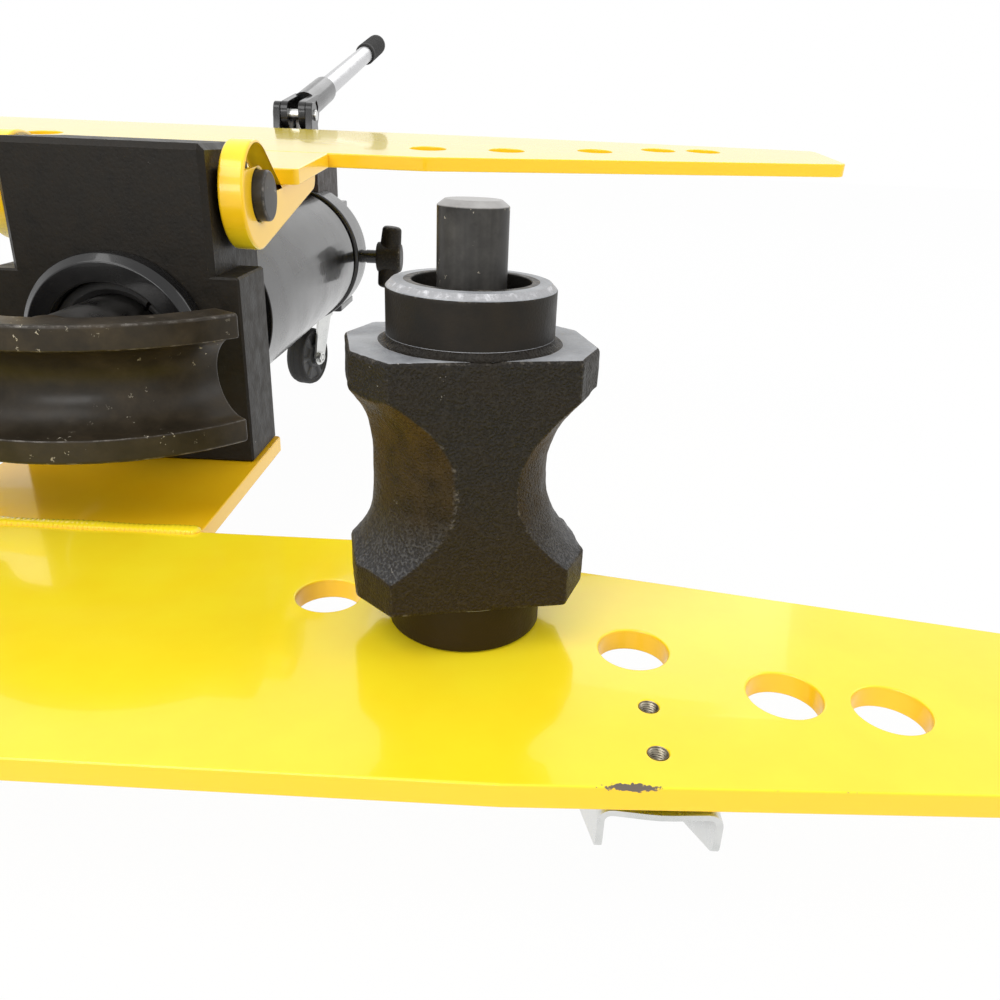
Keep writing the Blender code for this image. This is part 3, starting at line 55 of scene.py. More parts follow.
gap = 0.0003   # running clearance between pieces


# A point by its place across, behind the seat's front face and above the lower deck
def at(x, behind, height):
    return np.array([x, seatFront + behind, deckTop + height])


# A node's box: its low corner, high corner, middle and size
def boxOf(node):
    low, high = (np.array(corner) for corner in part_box(node))
    return low, high, (low + high) / 2, high - low


# A local frame as a 4 x 4 matrix: its columns are the side, up and forward directions and the origin
def frameAt(origin, forward=(0, 0, 1), side=(1, 0, 0)):
    forward = np.array(forward, float) / np.linalg.norm(forward)
    side = np.array(side, float) - forward * np.dot(side, forward)
    side /= np.linalg.norm(side)
    matrix = np.eye(4)
    matrix[:3, 0], matrix[:3, 1], matrix[:3, 2] = side, np.cross(forward, side), forward
    matrix[:3, 3] = origin
    return matrix


# A frame that faces along X
def facingX(origin):
    return frameAt(origin, (1, 0, 0), (0, 1, 0))


# Points times the turn, plus the origin
def carried(points, matrix):
    return points.reshape(-1, 3) @ matrix[:3, :3].T + matrix[:3, 3]


# Corners (x, y, radius) become arcs tangent to both sides. The last column is how near a point is
# to the middle of its arc, 0 to 1, which the materials read as a worn edge.
def roundedPath(corners, closed=True, steps=4):
    path = []
    for i, (x, y, radius) in enumerate(corners):
        here = np.array([x, y])
        if not radius or (not closed and i in (0, len(corners) - 1)):
            path.append((x, y, 0.0))
            continue
        before = np.array(corners[i - 1][:2]) - here
        after = np.array(corners[(i + 1) % len(corners)][:2]) - here
        before, after = before / np.linalg.norm(before), after / np.linalg.norm(after)
        half = math.acos(np.clip(np.dot(before, after), -1, 1)) / 2
        middle = (before + after) / np.linalg.norm(before + after)
        centre = here + middle * radius / math.sin(half)
        across = np.array([-middle[1], middle[0]])
        across *= 1 if np.dot(across, after) >= 0 else -1
        for t in np.linspace(0, 1, steps + 1):
            angle = (math.pi - 2 * half) * (t - 0.5)
            point = centre + radius * (across * math.sin(angle) - middle * math.cos(angle))
            path.append((*point, math.sin(math.pi * t)))
    return np.array(path)


# A rectangle's outline with rounded corners, from half its width and depth
def rectangle(a, b, corner, steps=4):
    return roundedPath([(-a, -b, corner), (a, -b, corner), (a, b, corner), (-a, b, corner)], steps=steps)


# Quad (i, j) joins point (i, j) of a grid to its neighbours in the next row and column
def gridQuads(rows, columns, closeRows=False, closeColumns=True):
    i = np.arange(rows if closeRows else rows - 1)[:, None]
    j = np.arange(columns if closeColumns else columns - 1)[None, :]
    nextRow, nextColumn = (i + 1) % rows, (j + 1) % columns
    corners = np.broadcast_arrays(i * columns + j, i * columns + nextColumn,
                                  nextRow * columns + nextColumn, nextRow * columns + j)
    return np.stack(corners, -1).reshape(-1, 4).tolist()


# The first and last row of a grid as one face each
def endCaps(rows, columns):
    return [list(range(columns)), list(range((rows - 1) * columns, rows * columns))]


# Evenly spaced angles round a full turn
def fullTurn(steps):
    return np.arange(steps) * 2 * math.pi / steps


# Points (r cos a, r sin a, z)
def polar(radius, angle, height):
    return np.stack([radius * np.cos(angle), radius * np.sin(angle), height + 0 * angle], -1)


# Point (i, j) of a turned surface is (r_i cos a_j, r_i sin a_j, z_i)
def turned(profile, matrix, steps=72, closed=False):
    points = polar(profile[:, :1], fullTurn(steps), profile[:, 1:2])
    return carried(points, matrix), gridQuads(len(profile), steps, closed), np.repeat(profile[:, 2], steps)


# A turned surface from its profile's corners (radius, height, rounding)
def lathe(corners, matrix, steps=72, closed=False, arc=4):
    return turned(roundedPath(corners, closed, arc), matrix, steps, closed)


# Outward direction at each point of a flat loop: its tangent turned by a right angle
def outward(loop):
    tangent = np.roll(loop, -1, 0) - np.roll(loop, 1, 0)
    tangent /= np.linalg.norm(tangent, axis=1, keepdims=True)
    return np.stack([tangent[:, 1], -tangent[:, 0]], -1)


# A hole's loop, which runs clockwise: (x + r cos a, y - r sin a)
def circle(x, y, radius, steps=64):
    angle = fullTurn(steps)
    return np.stack([x + radius * np.cos(angle), y - radius * np.sin(angle)], -1)


# Triangles that fill flat loops, as numbers into the loops' points laid end to end
def filled(loops):
    return np.array(tessellate_polygon([[Vector((*point, 0.0)) for point in loop] for loop in loops]))


# A flat piece: every loop is carried from the bottom to the top along a quarter arc at each rim,
# loop - n r (1 - sin a) at height r (1 - cos a), and the two faces are filled between the loops.
def platePiece(loops, low, high, rounding, matrix, steps=3):
    points, faces, edge = [], [], []
    first = 0
    angle = np.linspace(0, math.pi / 2, steps + 1)
    inset = rounding * (1 - np.sin(np.concatenate([angle, angle[::-1]])))
    rise = rounding * (1 - np.cos(angle))
    height = np.concatenate([low + rise, high - rise[::-1]])
    worn = np.concatenate([np.sin(2 * angle), np.sin(2 * angle[::-1])])
    caps = {0: [], len(height) - 1: []}
    for loop in loops:
        loop = np.asarray(loop)[:, :2]
        flat = loop[None] - inset[:, None, None] * outward(loop)[None]
        points.append(np.concatenate([flat, np.broadcast_to(height[:, None, None], flat.shape[:2] + (1,))], -1)
                      .reshape(-1, 3))
        edge.append(np.repeat(worn, len(loop)))
        faces += (np.array(gridQuads(len(height), len(loop))) + first).tolist()
        for row in caps:
            caps[row].append((flat[row], first + row * len(loop)))
        first += len(height) * len(loop)
    for rims in caps.values():
        index = np.concatenate([start + np.arange(len(rim)) for rim, start in rims])
        faces += index[filled([rim for rim, _ in rims])].tolist()
    return carried(np.concatenate(points), matrix), faces, np.concatenate(edge)


# A hexagon's reach at angle a is f / cos(a mod 60 - 30), f half its width across flats. Its top is
# cut by a cone, so each flat ends in the curved chamfer of a real bolt head.
def hexPiece(acrossFlats, height, matrix, hole=0.0, chamferBoth=False):
    columns, crownShare, coneShare, coneSlope = 72, 0.93, 0.97, math.tan(math.radians(30))
    angle = fullTurn(columns)
    level = 0 * angle
    reach = acrossFlats / 2 / np.cos(np.mod(angle, math.pi / 3) - math.pi / 6)
    fall = np.maximum(reach - coneShare * acrossFlats / 2, 0) * coneSlope
    low = fall if chamferBoth else level
    crown = crownShare * acrossFlats / 2 + level
    radii = np.stack([hole + level, crown, reach, reach, crown, hole + level])
    heights = np.stack([level, level, low, height - fall, height + level, height + level])
    edge = np.repeat([0, 0.3, 1, 1, 0.3, 0], columns)
    return carried(polar(radii, angle, heights), matrix), gridQuads(6, columns, bool(hole)), edge


# An object in the scene, at the origin
def newObject(name, data):
    item = bpy.data.objects.new(name, data)
    bpy.context.scene.collection.objects.link(item)
    return item


# The mesh as an object at the origin that rides its body and stands for its nodes. A finish is a
# material and its slot.
def placePiece(name, mesh, finish, body, nodes, sharp):
    material, slotName = finish
    mesh.materials.clear()
    mesh.materials.append(material)
    mesh.shade_smooth()
    mesh.set_sharp_from_angle(angle=math.radians(sharp))
    piece = newObject(name, mesh)
    piece.modifiers.new("flat faces", "WEIGHTED_NORMAL").keep_sharp = True
    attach(piece, body)
    if nodes:
        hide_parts(*nodes)


# One or more surfaces (points, faces, edge values) as a piece, doubles merged and faces turned outward
def makePiece(name, surfaces, finish, body, *nodes, sharp=35, cast=None):
    mesh = bpy.data.meshes.new(name)
    faces, first = [], 0
    for points, quads, _ in surfaces:
        faces += [[v + first for v in face] for face in quads]
        first += len(points)
    mesh.from_pydata(np.concatenate([points for points, _, _ in surfaces]), [], faces)
    values = {"edge": np.concatenate([edge for _, _, edge in surfaces])}
    if cast is not None:
        values["cast"] = cast
    for label, numbers in values.items():
        mesh.attributes.new(label, "FLOAT", "POINT").data.foreach_set("value", numbers.astype(np.float32))
    bm = bmesh.new()
    bm.from_mesh(mesh)
    bmesh.ops.remove_doubles(bm, verts=bm.verts, dist=1e-6)
    bmesh.ops.recalc_face_normals(bm, faces=bm.faces)
    bm.to_mesh(mesh)
    bm.free()
    placePiece(name, mesh, finish, body, nodes, sharp)


# A block keeps its solid's shape: the node's triangles are merged in a copy, and its sharp edges are
# rounded. A corner of a rounding has the share of the faces round it that belong to roundings as its edge.
def roundedCopy(name, node, finish, body, rounding, sharp=35):
    mesh = frame["nodes"][node].data.copy()
    mesh.name = name
    bm = bmesh.new()
    bm.from_mesh(mesh)
    bmesh.ops.remove_doubles(bm, verts=bm.verts, dist=1e-5)
    bmesh.ops.dissolve_limit(bm, angle_limit=math.radians(1), verts=bm.verts, edges=bm.edges)
    layer = bm.loops.layers.float.new("edge")
    corners = [e for e in bm.edges if len(e.link_faces) == 2 and e.calc_face_angle(0) > math.radians(sharp)]
    made = bmesh.ops.bevel(bm, geom=corners, offset=rounding, segments=3, profile=0.5, affect="EDGES",
                           clamp_overlap=True, loop_slide=True)
    rims = set(made["faces"])
    for face in rims:
        for loop in face.loops:
            loop[layer] = sum(other in rims for other in loop.vert.link_faces) / len(loop.vert.link_faces)
    bm.to_mesh(mesh)
    bm.free()
    placePiece(name, mesh, finish, body, [node], 50)


# Sum of plane waves of random direction and phase, about -1 to 1, as a cast surface's unevenness
def unevenness(points, wavelength, seed, waves=20):
    draw = np.random.default_rng(seed)
    direction = draw.normal(size=(waves, 3))
    direction /= np.linalg.norm(direction, axis=1, keepdims=True)
    stretch = draw.uniform(0.6, 1.6, waves)
    phase = draw.uniform(0, 2 * math.pi, waves)
    return np.sin(points @ (direction * stretch[:, None]).T * 2 * math.pi / wavelength + phase).mean(-1) * 2.2


print("geometry helpers ready")


# A shader node, its inputs linked where a value is a socket and set where it isn't
def add(tree, kind, values=None, **settings):
    node = tree.nodes.new("ShaderNode" + kind)
    for key, value in settings.items():
        setattr(node, key, value)
    for key, value in (values or {}).items():
        if isinstance(value, bpy.types.NodeSocket):
            tree.links.new(value, node.inputs[key])
        else:
            node.inputs[key].default_value = value
    return node


# The result of a Math node; a value may be a number or a socket
def calc(tree, operation, *values):
    return add(tree, "Math", dict(enumerate(values)), operation=operation).outputs[0]


# How far a value is on its way from low to high, 0 to 1
def ramp(tree, value, low, high):
    return add(tree, "MapRange", {"Value": value, "From Min": low, "From Max": high}).outputs[0]


# The value between first and second that a mask picks
def blendValue(tree, mask, first, second):
    return add(tree, "MapRange", {"Value": mask, "To Min": first, "To Max": second}).outputs[0]


# Mix of two colours by a mask; either may be a socket
def blendColour(tree, mask, first, second):
    node = add(tree, "Mix", data_type="RGBA")
    for socket, value in ((node.inputs[0], mask), (node.inputs[6], first), (node.inputs[7], second)):
        if isinstance(value, bpy.types.NodeSocket):
            tree.links.new(value, socket)
        else:
            socket.default_value = (*value, 1.0)
    return node.outputs[2]


# The object's own coordinates, whole and by axis
def objectPlace(tree):
    return add(tree, "TexCoord").outputs["Object"]


def objectAxes(tree):
    return add(tree, "SeparateXYZ", {0: objectPlace(tree)}).outputs


# A value that the mesh stores at its corners
def stored(tree, name):
    return add(tree, "Attribute", attribute_name=name).outputs["Fac"]


# Noise, stretched so that it runs from 0 to 1 between low and high
def spread(tree, vector, scale, low, high, detail=3.0, roughness=0.55):
    noise = add(tree, "TexNoise", {"Vector": vector, "Scale": scale, "Detail": detail, "Roughness": roughness})
    return ramp(tree, noise.outputs["Fac"], low, high)


# A node group from its inputs' names and values and a function that gives its outputs by name
def newGroup(name, inputs, build):
    tree = bpy.data.node_groups.new(name, "ShaderNodeTree")
    for label, value in inputs.items():
        kind = "NodeSocketVector" if isinstance(value, tuple) else "NodeSocketFloat"
        tree.interface.new_socket(label, in_out="INPUT", socket_type=kind).default_value = value
    outputs = build(tree, tree.nodes.new("NodeGroupInput").outputs, objectPlace(tree))
    for label in outputs:
        tree.interface.new_socket(label, in_out="OUTPUT", socket_type="NodeSocketFloat")
    result = tree.nodes.new("NodeGroupOutput").inputs
    for label, socket in outputs.items():
        tree.links.new(socket, result[label])
    return tree


# Worn edges: the edge attribute, broken up by noise, as a mask
def wornEdgeParts(tree, given, place):
    patches = spread(tree, place, given["Patch Scale"], 0.30, 0.70, 5.0, 0.7)
    mask = add(tree, "MapRange", {"Value": calc(tree, "MULTIPLY", stored(tree, "edge"), patches),
                                  "From Min": calc(tree, "SUBTRACT", 1.0, given["Amount"]), "From Max": 1.0},
               interpolation_type="SMOOTHSTEP")
    return {"Mask": mask.outputs[0]}


# Cast skin: coarse lumps, sandy grain and small pits as a height, and the grain's high spots as a mask
def castSkinParts(tree, given, place):
    grain = spread(tree, place, given["Grain"], 0.32, 0.68, 4.0, 0.6)
    lumps = spread(tree, place, given["Lumps"], 0.3, 0.7, 3.0, 0.5)
    pits = add(tree, "TexVoronoi", {"Vector": place, "Scale": given["Grain"]}, feature="SMOOTH_F1")
    mixed = calc(tree, "MULTIPLY_ADD", grain, 0.6, ramp(tree, pits.outputs["Distance"], 0.0, 0.55))
    return {"Height": calc(tree, "MULTIPLY_ADD", lumps, 0.7, mixed), "High Spots": ramp(tree, mixed, 1.0, 1.5),
            "Patches": lumps}


# Flecks: cells of a warped Voronoi pattern whose random value is high, drawn as small dots, only in some areas
def flecksParts(tree, given, place):
    shake = add(tree, "TexNoise", {"Vector": place, "Scale": 620.0, "Detail": 2.0}).outputs["Color"]
    centred = add(tree, "VectorMath", {0: shake, 1: (0.5,) * 3}, operation="SUBTRACT").outputs[0]
    shaken = add(tree, "VectorMath", {0: centred, 1: (0.007,) * 3, 2: place}, operation="MULTIPLY_ADD").outputs[0]
    cells = add(tree, "TexVoronoi", {"Vector": shaken, "Scale": given["Scale"]}).outputs
    pick = add(tree, "SeparateColor", {"Color": cells["Color"]}).outputs
    reach = calc(tree, "MULTIPLY", pick["Green"], given["Size"])
    dot = calc(tree, "LESS_THAN", cells["Distance"], reach)
    rare = calc(tree, "LESS_THAN", pick["Red"], given["Share"])
    area = spread(tree, place, 14.0, 0.48, 0.60, 2.0)
    return {"Mask": calc(tree, "MULTIPLY", calc(tree, "MULTIPLY", dot, rare), area)}


# Enamel film: long soft waves and a fine orange peel as a height, and a patchy haze
def enamelFilmParts(tree, given, place):
    waves = spread(tree, place, given["Waves"], 0.2, 0.8, 1.5)
    peel = spread(tree, place, given["Peel"], 0.2, 0.8, 1.0)
    return {"Height": calc(tree, "MULTIPLY_ADD", peel, 0.012, waves),
            "Haze": spread(tree, place, 26.0, 0.3, 0.7, 4.0)}


# Fine lines across one direction, as a turned, ground or drawn surface shows
def toolMarksParts(tree, given, place):
    stretched = add(tree, "VectorMath", {0: place, 1: given["Stretch"]}, operation="MULTIPLY").outputs[0]
    return {"Height": spread(tree, stretched, given["Scale"], 0.3, 0.7, 4.0, 0.7),
            "Mottle": spread(tree, place, 45.0, 0.32, 0.68, 5.0, 0.65)}


wornEdge = newGroup("wornEdge", {"Amount": 0.5, "Patch Scale": 90.0}, wornEdgeParts)
castSkin = newGroup("castSkin", {"Grain": 520.0, "Lumps": 90.0}, castSkinParts)
flecks = newGroup("flecks", {"Scale": 160.0, "Share": 0.12, "Size": 0.16}, flecksParts)
enamelFilm = newGroup("enamelFilm", {"Waves": 16.0, "Peel": 700.0}, enamelFilmParts)
toolMarks = newGroup("toolMarks", {"Stretch": (1.0, 1.0, 30.0), "Scale": 60.0}, toolMarksParts)


# A group's outputs, with its inputs set in their order
def use(tree, group, *values):
    node = tree.nodes.new("ShaderNodeGroup")
    node.node_tree = group
    for socket, value in zip(node.inputs, values):
        socket.default_value = value
    return node.outputs


# A material, its node tree and its shader's inputs
def newMaterial(name, roughness, metallic=0.0, coat=0.0, coatRoughness=0.03, specular=0.5):
    material = bpy.data.materials.new(name)
    material.use_nodes = True
    shader = material.node_tree.nodes["Principled BSDF"].inputs
    for socket, value in (("Roughness", roughness), ("Metallic", metallic), ("Coat Weight", coat),
                          ("Coat Roughness", coatRoughness), ("Specular IOR Level", specular)):
        shader[socket].default_value = value
    return material, material.node_tree, shader


# The colour, the roughness between two values by a mask, and a bump
def dress(tree, shader, colour, dull, height, strength, distance):
    tree.links.new(colour, shader["Base Color"])
    if dull:
        tree.links.new(blendValue(tree, *dull), shader["Roughness"])
    bump = add(tree, "Bump", {"Height": height, "Strength": strength, "Distance": distance})
    tree.links.new(bump.outputs[0], shader["Normal"])


# the side colour is painted shade: upright faces are drawn amber and darker than the tops
yellowLook = {"colour": (0.97, 0.765, 0.020), "deep": (0.96, 0.71, 0.016), "side": (0.96, 0.58, 0.008),
              # the neck colours are painted shade for the lower neck under the die and seat
              "neck": (0.94, 0.55, 0.008), "neckShadeDeep": (0.92, 0.50, 0.006), "bare": (0.16, 0.14, 0.11),
              "roughness": 0.16, "sideRoughness": 0.32, "coat": 0.45, "wave": 0.0006}
# paint lost on the front rim over the right caster
chip = {"x": 0.3385, "half": 0.019, "ahead": 0.3262, "depth": 0.0040, "drop": 0.0028, "ragged": 0.7,
        "colour": (0.13, 0.105, 0.085)}


# A chip's mask: 1 - u^2 - depth - drop, u its place along the rim, broken up by noise
def chipMask(tree):
    middle = at(chip["x"], -chip["ahead"], 0)
    total = None
    for axis, length in enumerate((chip["half"], chip["depth"], -chip["drop"])):
        along = calc(tree, "MULTIPLY_ADD", objectAxes(tree)[axis], 1 / length, -middle[axis] / length)
        total = calc(tree, "ADD", total, along) if axis else calc(tree, "MULTIPLY", along, along)
    ragged = spread(tree, objectPlace(tree), 420.0, 0.3, 0.7, 4.0, 0.6)
    return ramp(tree, calc(tree, "MULTIPLY_ADD", ragged, chip["ragged"], total), 1.12, 1.0)


# Glossy enamel: deeper in patches, amber on upright faces as painted shade, chipped to steel where a rim is worn
def yellowEnamel(name, light, deep):
    look = yellowLook
    material, tree, shader = newMaterial(name, look["roughness"], coat=look["coat"], specular=0.4)
    film = use(tree, enamelFilm, 11.0)
    normal = add(tree, "SeparateXYZ", {0: add(tree, "NewGeometry").outputs["Normal"]}).outputs["Z"]
    # side marks upright faces: they are rougher and take the side colour, which is painted shade
    side = ramp(tree, calc(tree, "ABSOLUTE", normal), 0.85, 0.4)
    colour = blendColour(tree, side, blendColour(tree, film["Haze"], light, deep), look["side"])
    worn = use(tree, wornEdge, 0.26, 120.0)["Mask"]
    lost = chipMask(tree)
    colour = blendColour(tree, lost, blendColour(tree, worn, colour, look["bare"]), chip["colour"])
    bare = calc(tree, "MAXIMUM", worn, lost)
    tree.links.new(blendValue(tree, bare, look["coat"], 0.0), shader["Coat Weight"])
    dress(tree, shader, colour, (side, look["roughness"], look["sideRoughness"]), film["Height"], 0.35, look["wave"])
    return material


# Gloss black enamel over steel
def blackEnamel():
    material, tree, shader = newMaterial("black_enamel", 0.22, coat=0.40, coatRoughness=0.06, specular=0.28)
    film = use(tree, enamelFilm, 22.0, 520.0)
    colour = blendColour(tree, film["Haze"], (0.006, 0.006, 0.0065), (0.011, 0.0105, 0.010))
    colour = blendColour(tree, use(tree, wornEdge, 0.30, 160.0)["Mask"], colour, (0.16, 0.14, 0.12))
    dress(tree, shader, colour, (film["Haze"], 0.18, 0.30), film["Height"], 0.3, 0.0004)
    return material


# pairs of colours are mixed by a pattern; pairs of heights are where a mark begins and is full
castLook = {"dark": (0.012, 0.0105, 0.0085), "light": (0.018, 0.0142, 0.0100), "worn": (0.165, 0.145, 0.120),
            # the foot colours are a painted reflection of the yellow deck on the lower block
            "fleck": (0.45, 0.42, 0.38), "deckReflection": ((0.026, 0.014, 0.002), (0.042, 0.026, 0.006)),
            "deckReflectionHeights": (0.095, 0.010), "deckReflectionShare": 0.75,
            # the colours high in the grooves are a painted reflection of the yellow deck
            "grooveReflection": ((0.024, 0.013, 0.003), (0.070, 0.040, 0.008)), "grooveReflectionHeights": (0.055, 0.120),
            # the grey specks low in the grooves are a painted sheen from the pale sky
            "grooveSheen": ((0.048, 0.049, 0.053), (0.135, 0.136, 0.142)), "grooveSheenHeights": (0.075, 0.035),
            # the grey of the block's top, hub ring and rim is a painted sheen from the pale sky above
            "topSheen": ((0.19, 0.197, 0.212), (0.42, 0.43, 0.445)), "rim": ((0.34, 0.34, 0.35), (0.70, 0.70, 0.72))}
# values of the cast attribute: how rough a face is, and which faces take the painted sheen of the top faces
castValue = {"hub": 0.0, "top": 0.12, "ring": 0.20, "rim": 0.27, "topRounding": 0.4, "fillet": 0.6, "side": 0.75,
             "low": 0.8, "groove": 1.0}


# The roller's marks by its cast attribute and height: a painted reflection of the yellow deck, brown on the foot and
# gold-brown high in the grooves, painted sheen as grey specks low in the grooves and grey on the top faces, and a light
# rim. It returns the bump's strength too.
def rollerWearAndPaintedLight(tree, colour, skin, worn, grainHighlight):
    look = castLook
    amount, height = stored(tree, "cast"), objectAxes(tree)["Z"]

    def between(name):
        return ramp(tree, height, *(deckTop + level for level in look[name]))

    # only the cast sides are grainy, with painted highlights on the grain's high spots; the turned hubs are smooth
    grains = calc(tree, "MULTIPLY", skin["High Spots"], amount)
    colour = blendColour(tree, grains, colour, grainHighlight)
    groove = ramp(tree, amount, 0.85, 0.95)
    mottle = use(tree, toolMarks, (1, 1, 1), 90.0)["Mottle"]
    # painted reflection of the deck on the foot, wear, painted reflection high in the grooves, painted sheen low in the
    # grooves and on the top faces, and the light rim
    wearAndPaintedLight = ((calc(tree, "MULTIPLY", between("deckReflectionHeights"), look["deckReflectionShare"]), grains, "deckReflection"),
              (worn, None, "worn"),
              (calc(tree, "MULTIPLY", groove, between("grooveReflectionHeights")), skin["Patches"], "grooveReflection"),
              (calc(tree, "MULTIPLY", groove, between("grooveSheenHeights")), skin["High Spots"], "grooveSheen"),
              (calc(tree, "COMPARE", amount, 0.18, 0.10), mottle, "topSheen"),
              (calc(tree, "COMPARE", amount, castValue["rim"], 0.03), worn, "rim"))
    for mask, pattern, name in wearAndPaintedLight:
        markColour = blendColour(tree, pattern, *look[name]) if pattern else look[name]
        colour = blendColour(tree, mask, colour, markColour)
    return colour, blendValue(tree, amount, 0.10, 1.0)


# Black casting: grainy with painted highlights on the grain's high spots, brown in patches, with light worn rims and
# flecks
def castIron(name, grain, depth, tint=(1.0, 1.0, 1.0), grainHighlight=(0.028, 0.024, 0.018), flecked=0.06, isRoller=False):
    material, tree, shader = newMaterial(name, 0.42, specular=0.15)
    skin = use(tree, castSkin, grain)
    worn = use(tree, wornEdge, 0.62, 210.0)["Mask"]
    tones = [tuple(a * b for a, b in zip(castLook[tone], tint)) for tone in ("dark", "light")]
    colour = blendColour(tree, skin["Patches"], *tones)
    if isRoller:
        colour, strength = rollerWearAndPaintedLight(tree, colour, skin, worn, grainHighlight)
    else:
        # painted highlights on the grain's high spots
        colour = blendColour(tree, skin["High Spots"], colour, grainHighlight)
        colour, strength = blendColour(tree, worn, colour, castLook["worn"]), 1.0
    colour = blendColour(tree, use(tree, flecks, 230.0, flecked, 0.22)["Mask"], colour, castLook["fleck"])
    dress(tree, shader, colour, (skin["Patches"], 0.34, 0.50), skin["Height"], strength, depth)
    return material


# Blackened machined steel: fine tool marks, brown tinge, rims rubbed light, and above the faced height
# an end rubbed to grey
def blackenedSteel(name, stretch, dark, light, gloss, wear, faced=None, flecked=0.10):
    material, tree, shader = newMaterial(name, gloss, specular=0.24)
    marks = use(tree, toolMarks, stretch, 40.0)
    colour = blendColour(tree, marks["Mottle"], dark, blendColour(tree, marks["Height"], dark, light))
    if faced:
        end = ramp(tree, objectAxes(tree)["Z"], faced - 0.0006, faced)
        colour = blendColour(tree, end, colour, blendColour(tree, marks["Mottle"], (0.28, 0.27, 0.26),
                                                            (0.42, 0.41, 0.40)))
    colour = blendColour(tree, use(tree, wornEdge, wear, 150.0)["Mask"], colour, (0.17, 0.155, 0.14))
    colour = blendColour(tree, use(tree, flecks, 260.0, flecked, 0.30)["Mask"], colour, (0.42, 0.38, 0.30))
    dress(tree, shader, colour, (marks["Mottle"], gloss - 0.06, gloss + 0.12), marks["Height"], 0.25, 0.00025)
    return material


# Bright metal: base colour mottled, light scratches, roughness uneven
def brightMetal(name, dark, light, roughness, stretch, wear=0.5):
    material, tree, shader = newMaterial(name, roughness, metallic=1.0)
    marks = use(tree, toolMarks, stretch, 50.0)
    colour = blendColour(tree, marks["Mottle"], dark, light)
    colour = blendColour(tree, use(tree, wornEdge, wear, 120.0)["Mask"], colour, (0.88, 0.88, 0.86))
    dull = (marks["Mottle"], roughness - 0.08, roughness + 0.10)
    dress(tree, shader, colour, dull, marks["Height"], 0.2, 0.0002)
    return material


rubberLook = {"name": "black_rubber", "dark": (0.012, 0.012, 0.012), "light": (0.030, 0.029, 0.028),
              "worn": (0.075, 0.073, 0.070), "wear": 0.6, "wearScale": 140.0, "grain": 900.0, "lumps": 60.0,
              "roughness": (0.55, 0.62, 0.75), "specular": 0.4, "strength": 0.4, "depth": 0.0001}
nylonLook = {"name": "moulded_nylon", "dark": (0.035, 0.036, 0.038), "light": (0.055, 0.055, 0.056),
             "worn": (0.14, 0.14, 0.135), "wear": 0.5, "wearScale": 160.0, "grain": 1400.0, "lumps": 45.0,
             "roughness": (0.36, 0.42, 0.52), "specular": 0.5, "strength": 0.25, "depth": 0.00012}


# Rubber or dark nylon: dusty, with a fine grain and paler worn edges
def mouldedSkin(look):
    low, plain, high = look["roughness"]
    material, tree, shader = newMaterial(look["name"], plain, specular=look["specular"])
    skin = use(tree, castSkin, look["grain"], look["lumps"])
    colour = blendColour(tree, skin["Patches"], look["dark"], look["light"])
    colour = blendColour(tree, use(tree, wornEdge, look["wear"], look["wearScale"])["Mask"], colour, look["worn"])
    dress(tree, shader, colour, (skin["Patches"], low, high), skin["Height"], look["strength"], look["depth"])
    return material


# Hard red seal plastic, faintly mottled
def sealPlastic():
    material, tree, shader = newMaterial("seal_plastic", 0.45)
    film = use(tree, enamelFilm, 40.0)
    colour = blendColour(tree, film["Haze"], (0.30, 0.07, 0.05), (0.38, 0.11, 0.08))
    dress(tree, shader, colour, None, film["Height"], 0.2, 0.0002)
    return material


# every finish is a material and the slot that it stands for
yellow = yellowEnamel("yellow_enamel", yellowLook["colour"], yellowLook["deep"]), "yellow_paint"
# the lower neck's enamel is painted shade: darker and more amber, standing in for the shade and dark reflection under
# the die and seat
yellowNeckShaded = yellowEnamel("yellow_enamel_neck_shaded", yellowLook["neck"], yellowLook["neckShadeDeep"]), "yellow_paint"
black = blackEnamel(), "black_paint"
sealRed = sealPlastic(), "seal"
rubber = mouldedSkin(rubberLook), "rubber"
nylon = mouldedSkin(nylonLook), "rubber"
castRoller = castIron("cast_black_roller", 820.0, 0.0008, isRoller=True), "cast_black"
castSeat = castIron("cast_black_seat", 420.0, 0.00008, grainHighlight=(0.0155, 0.0135, 0.0105), flecked=0.012), "cast_black"
castPump = castIron("cast_black_pump", 380.0, 0.00014, (1.5, 0.9, 0.8)), "black_paint"
castKnob = castIron("cast_black_knob", 600.0, 0.0001), "black_paint"
pinSteel = blackenedSteel("blackened_pin", (1, 1, 0.06), (0.016, 0.015, 0.014), (0.085, 0.080, 0.072), 0.36, 0.74,
                          faced=deckTop + 0.2056), "dark_steel"
dieSteel = blackenedSteel("blackened_die", (1, 1, 1), (0.018, 0.014, 0.009), (0.050, 0.037, 0.022), 0.34, 0.74,
                          flecked=0.24), "dark_steel"
rodSteel = brightMetal("oiled_rod_steel", (0.16, 0.15, 0.14), (0.26, 0.25, 0.24), 0.30, (1, 0.1, 1)), "bright_steel"
groundSteel = brightMetal("ground_steel", (0.50, 0.50, 0.51), (0.62, 0.62, 0.63), 0.28, (1, 1, 0.05)), "bright_steel"
zincPlate = brightMetal("zinc_plate", (0.62, 0.63, 0.62), (0.80, 0.80, 0.78), 0.30, (1, 1, 1), 0.75), "zinc"
threadSteel = brightMetal("thread_steel", (0.20, 0.17, 0.12), (0.42, 0.38, 0.30), 0.34, (1, 1, 1)), "zinc"
print("materials ready")


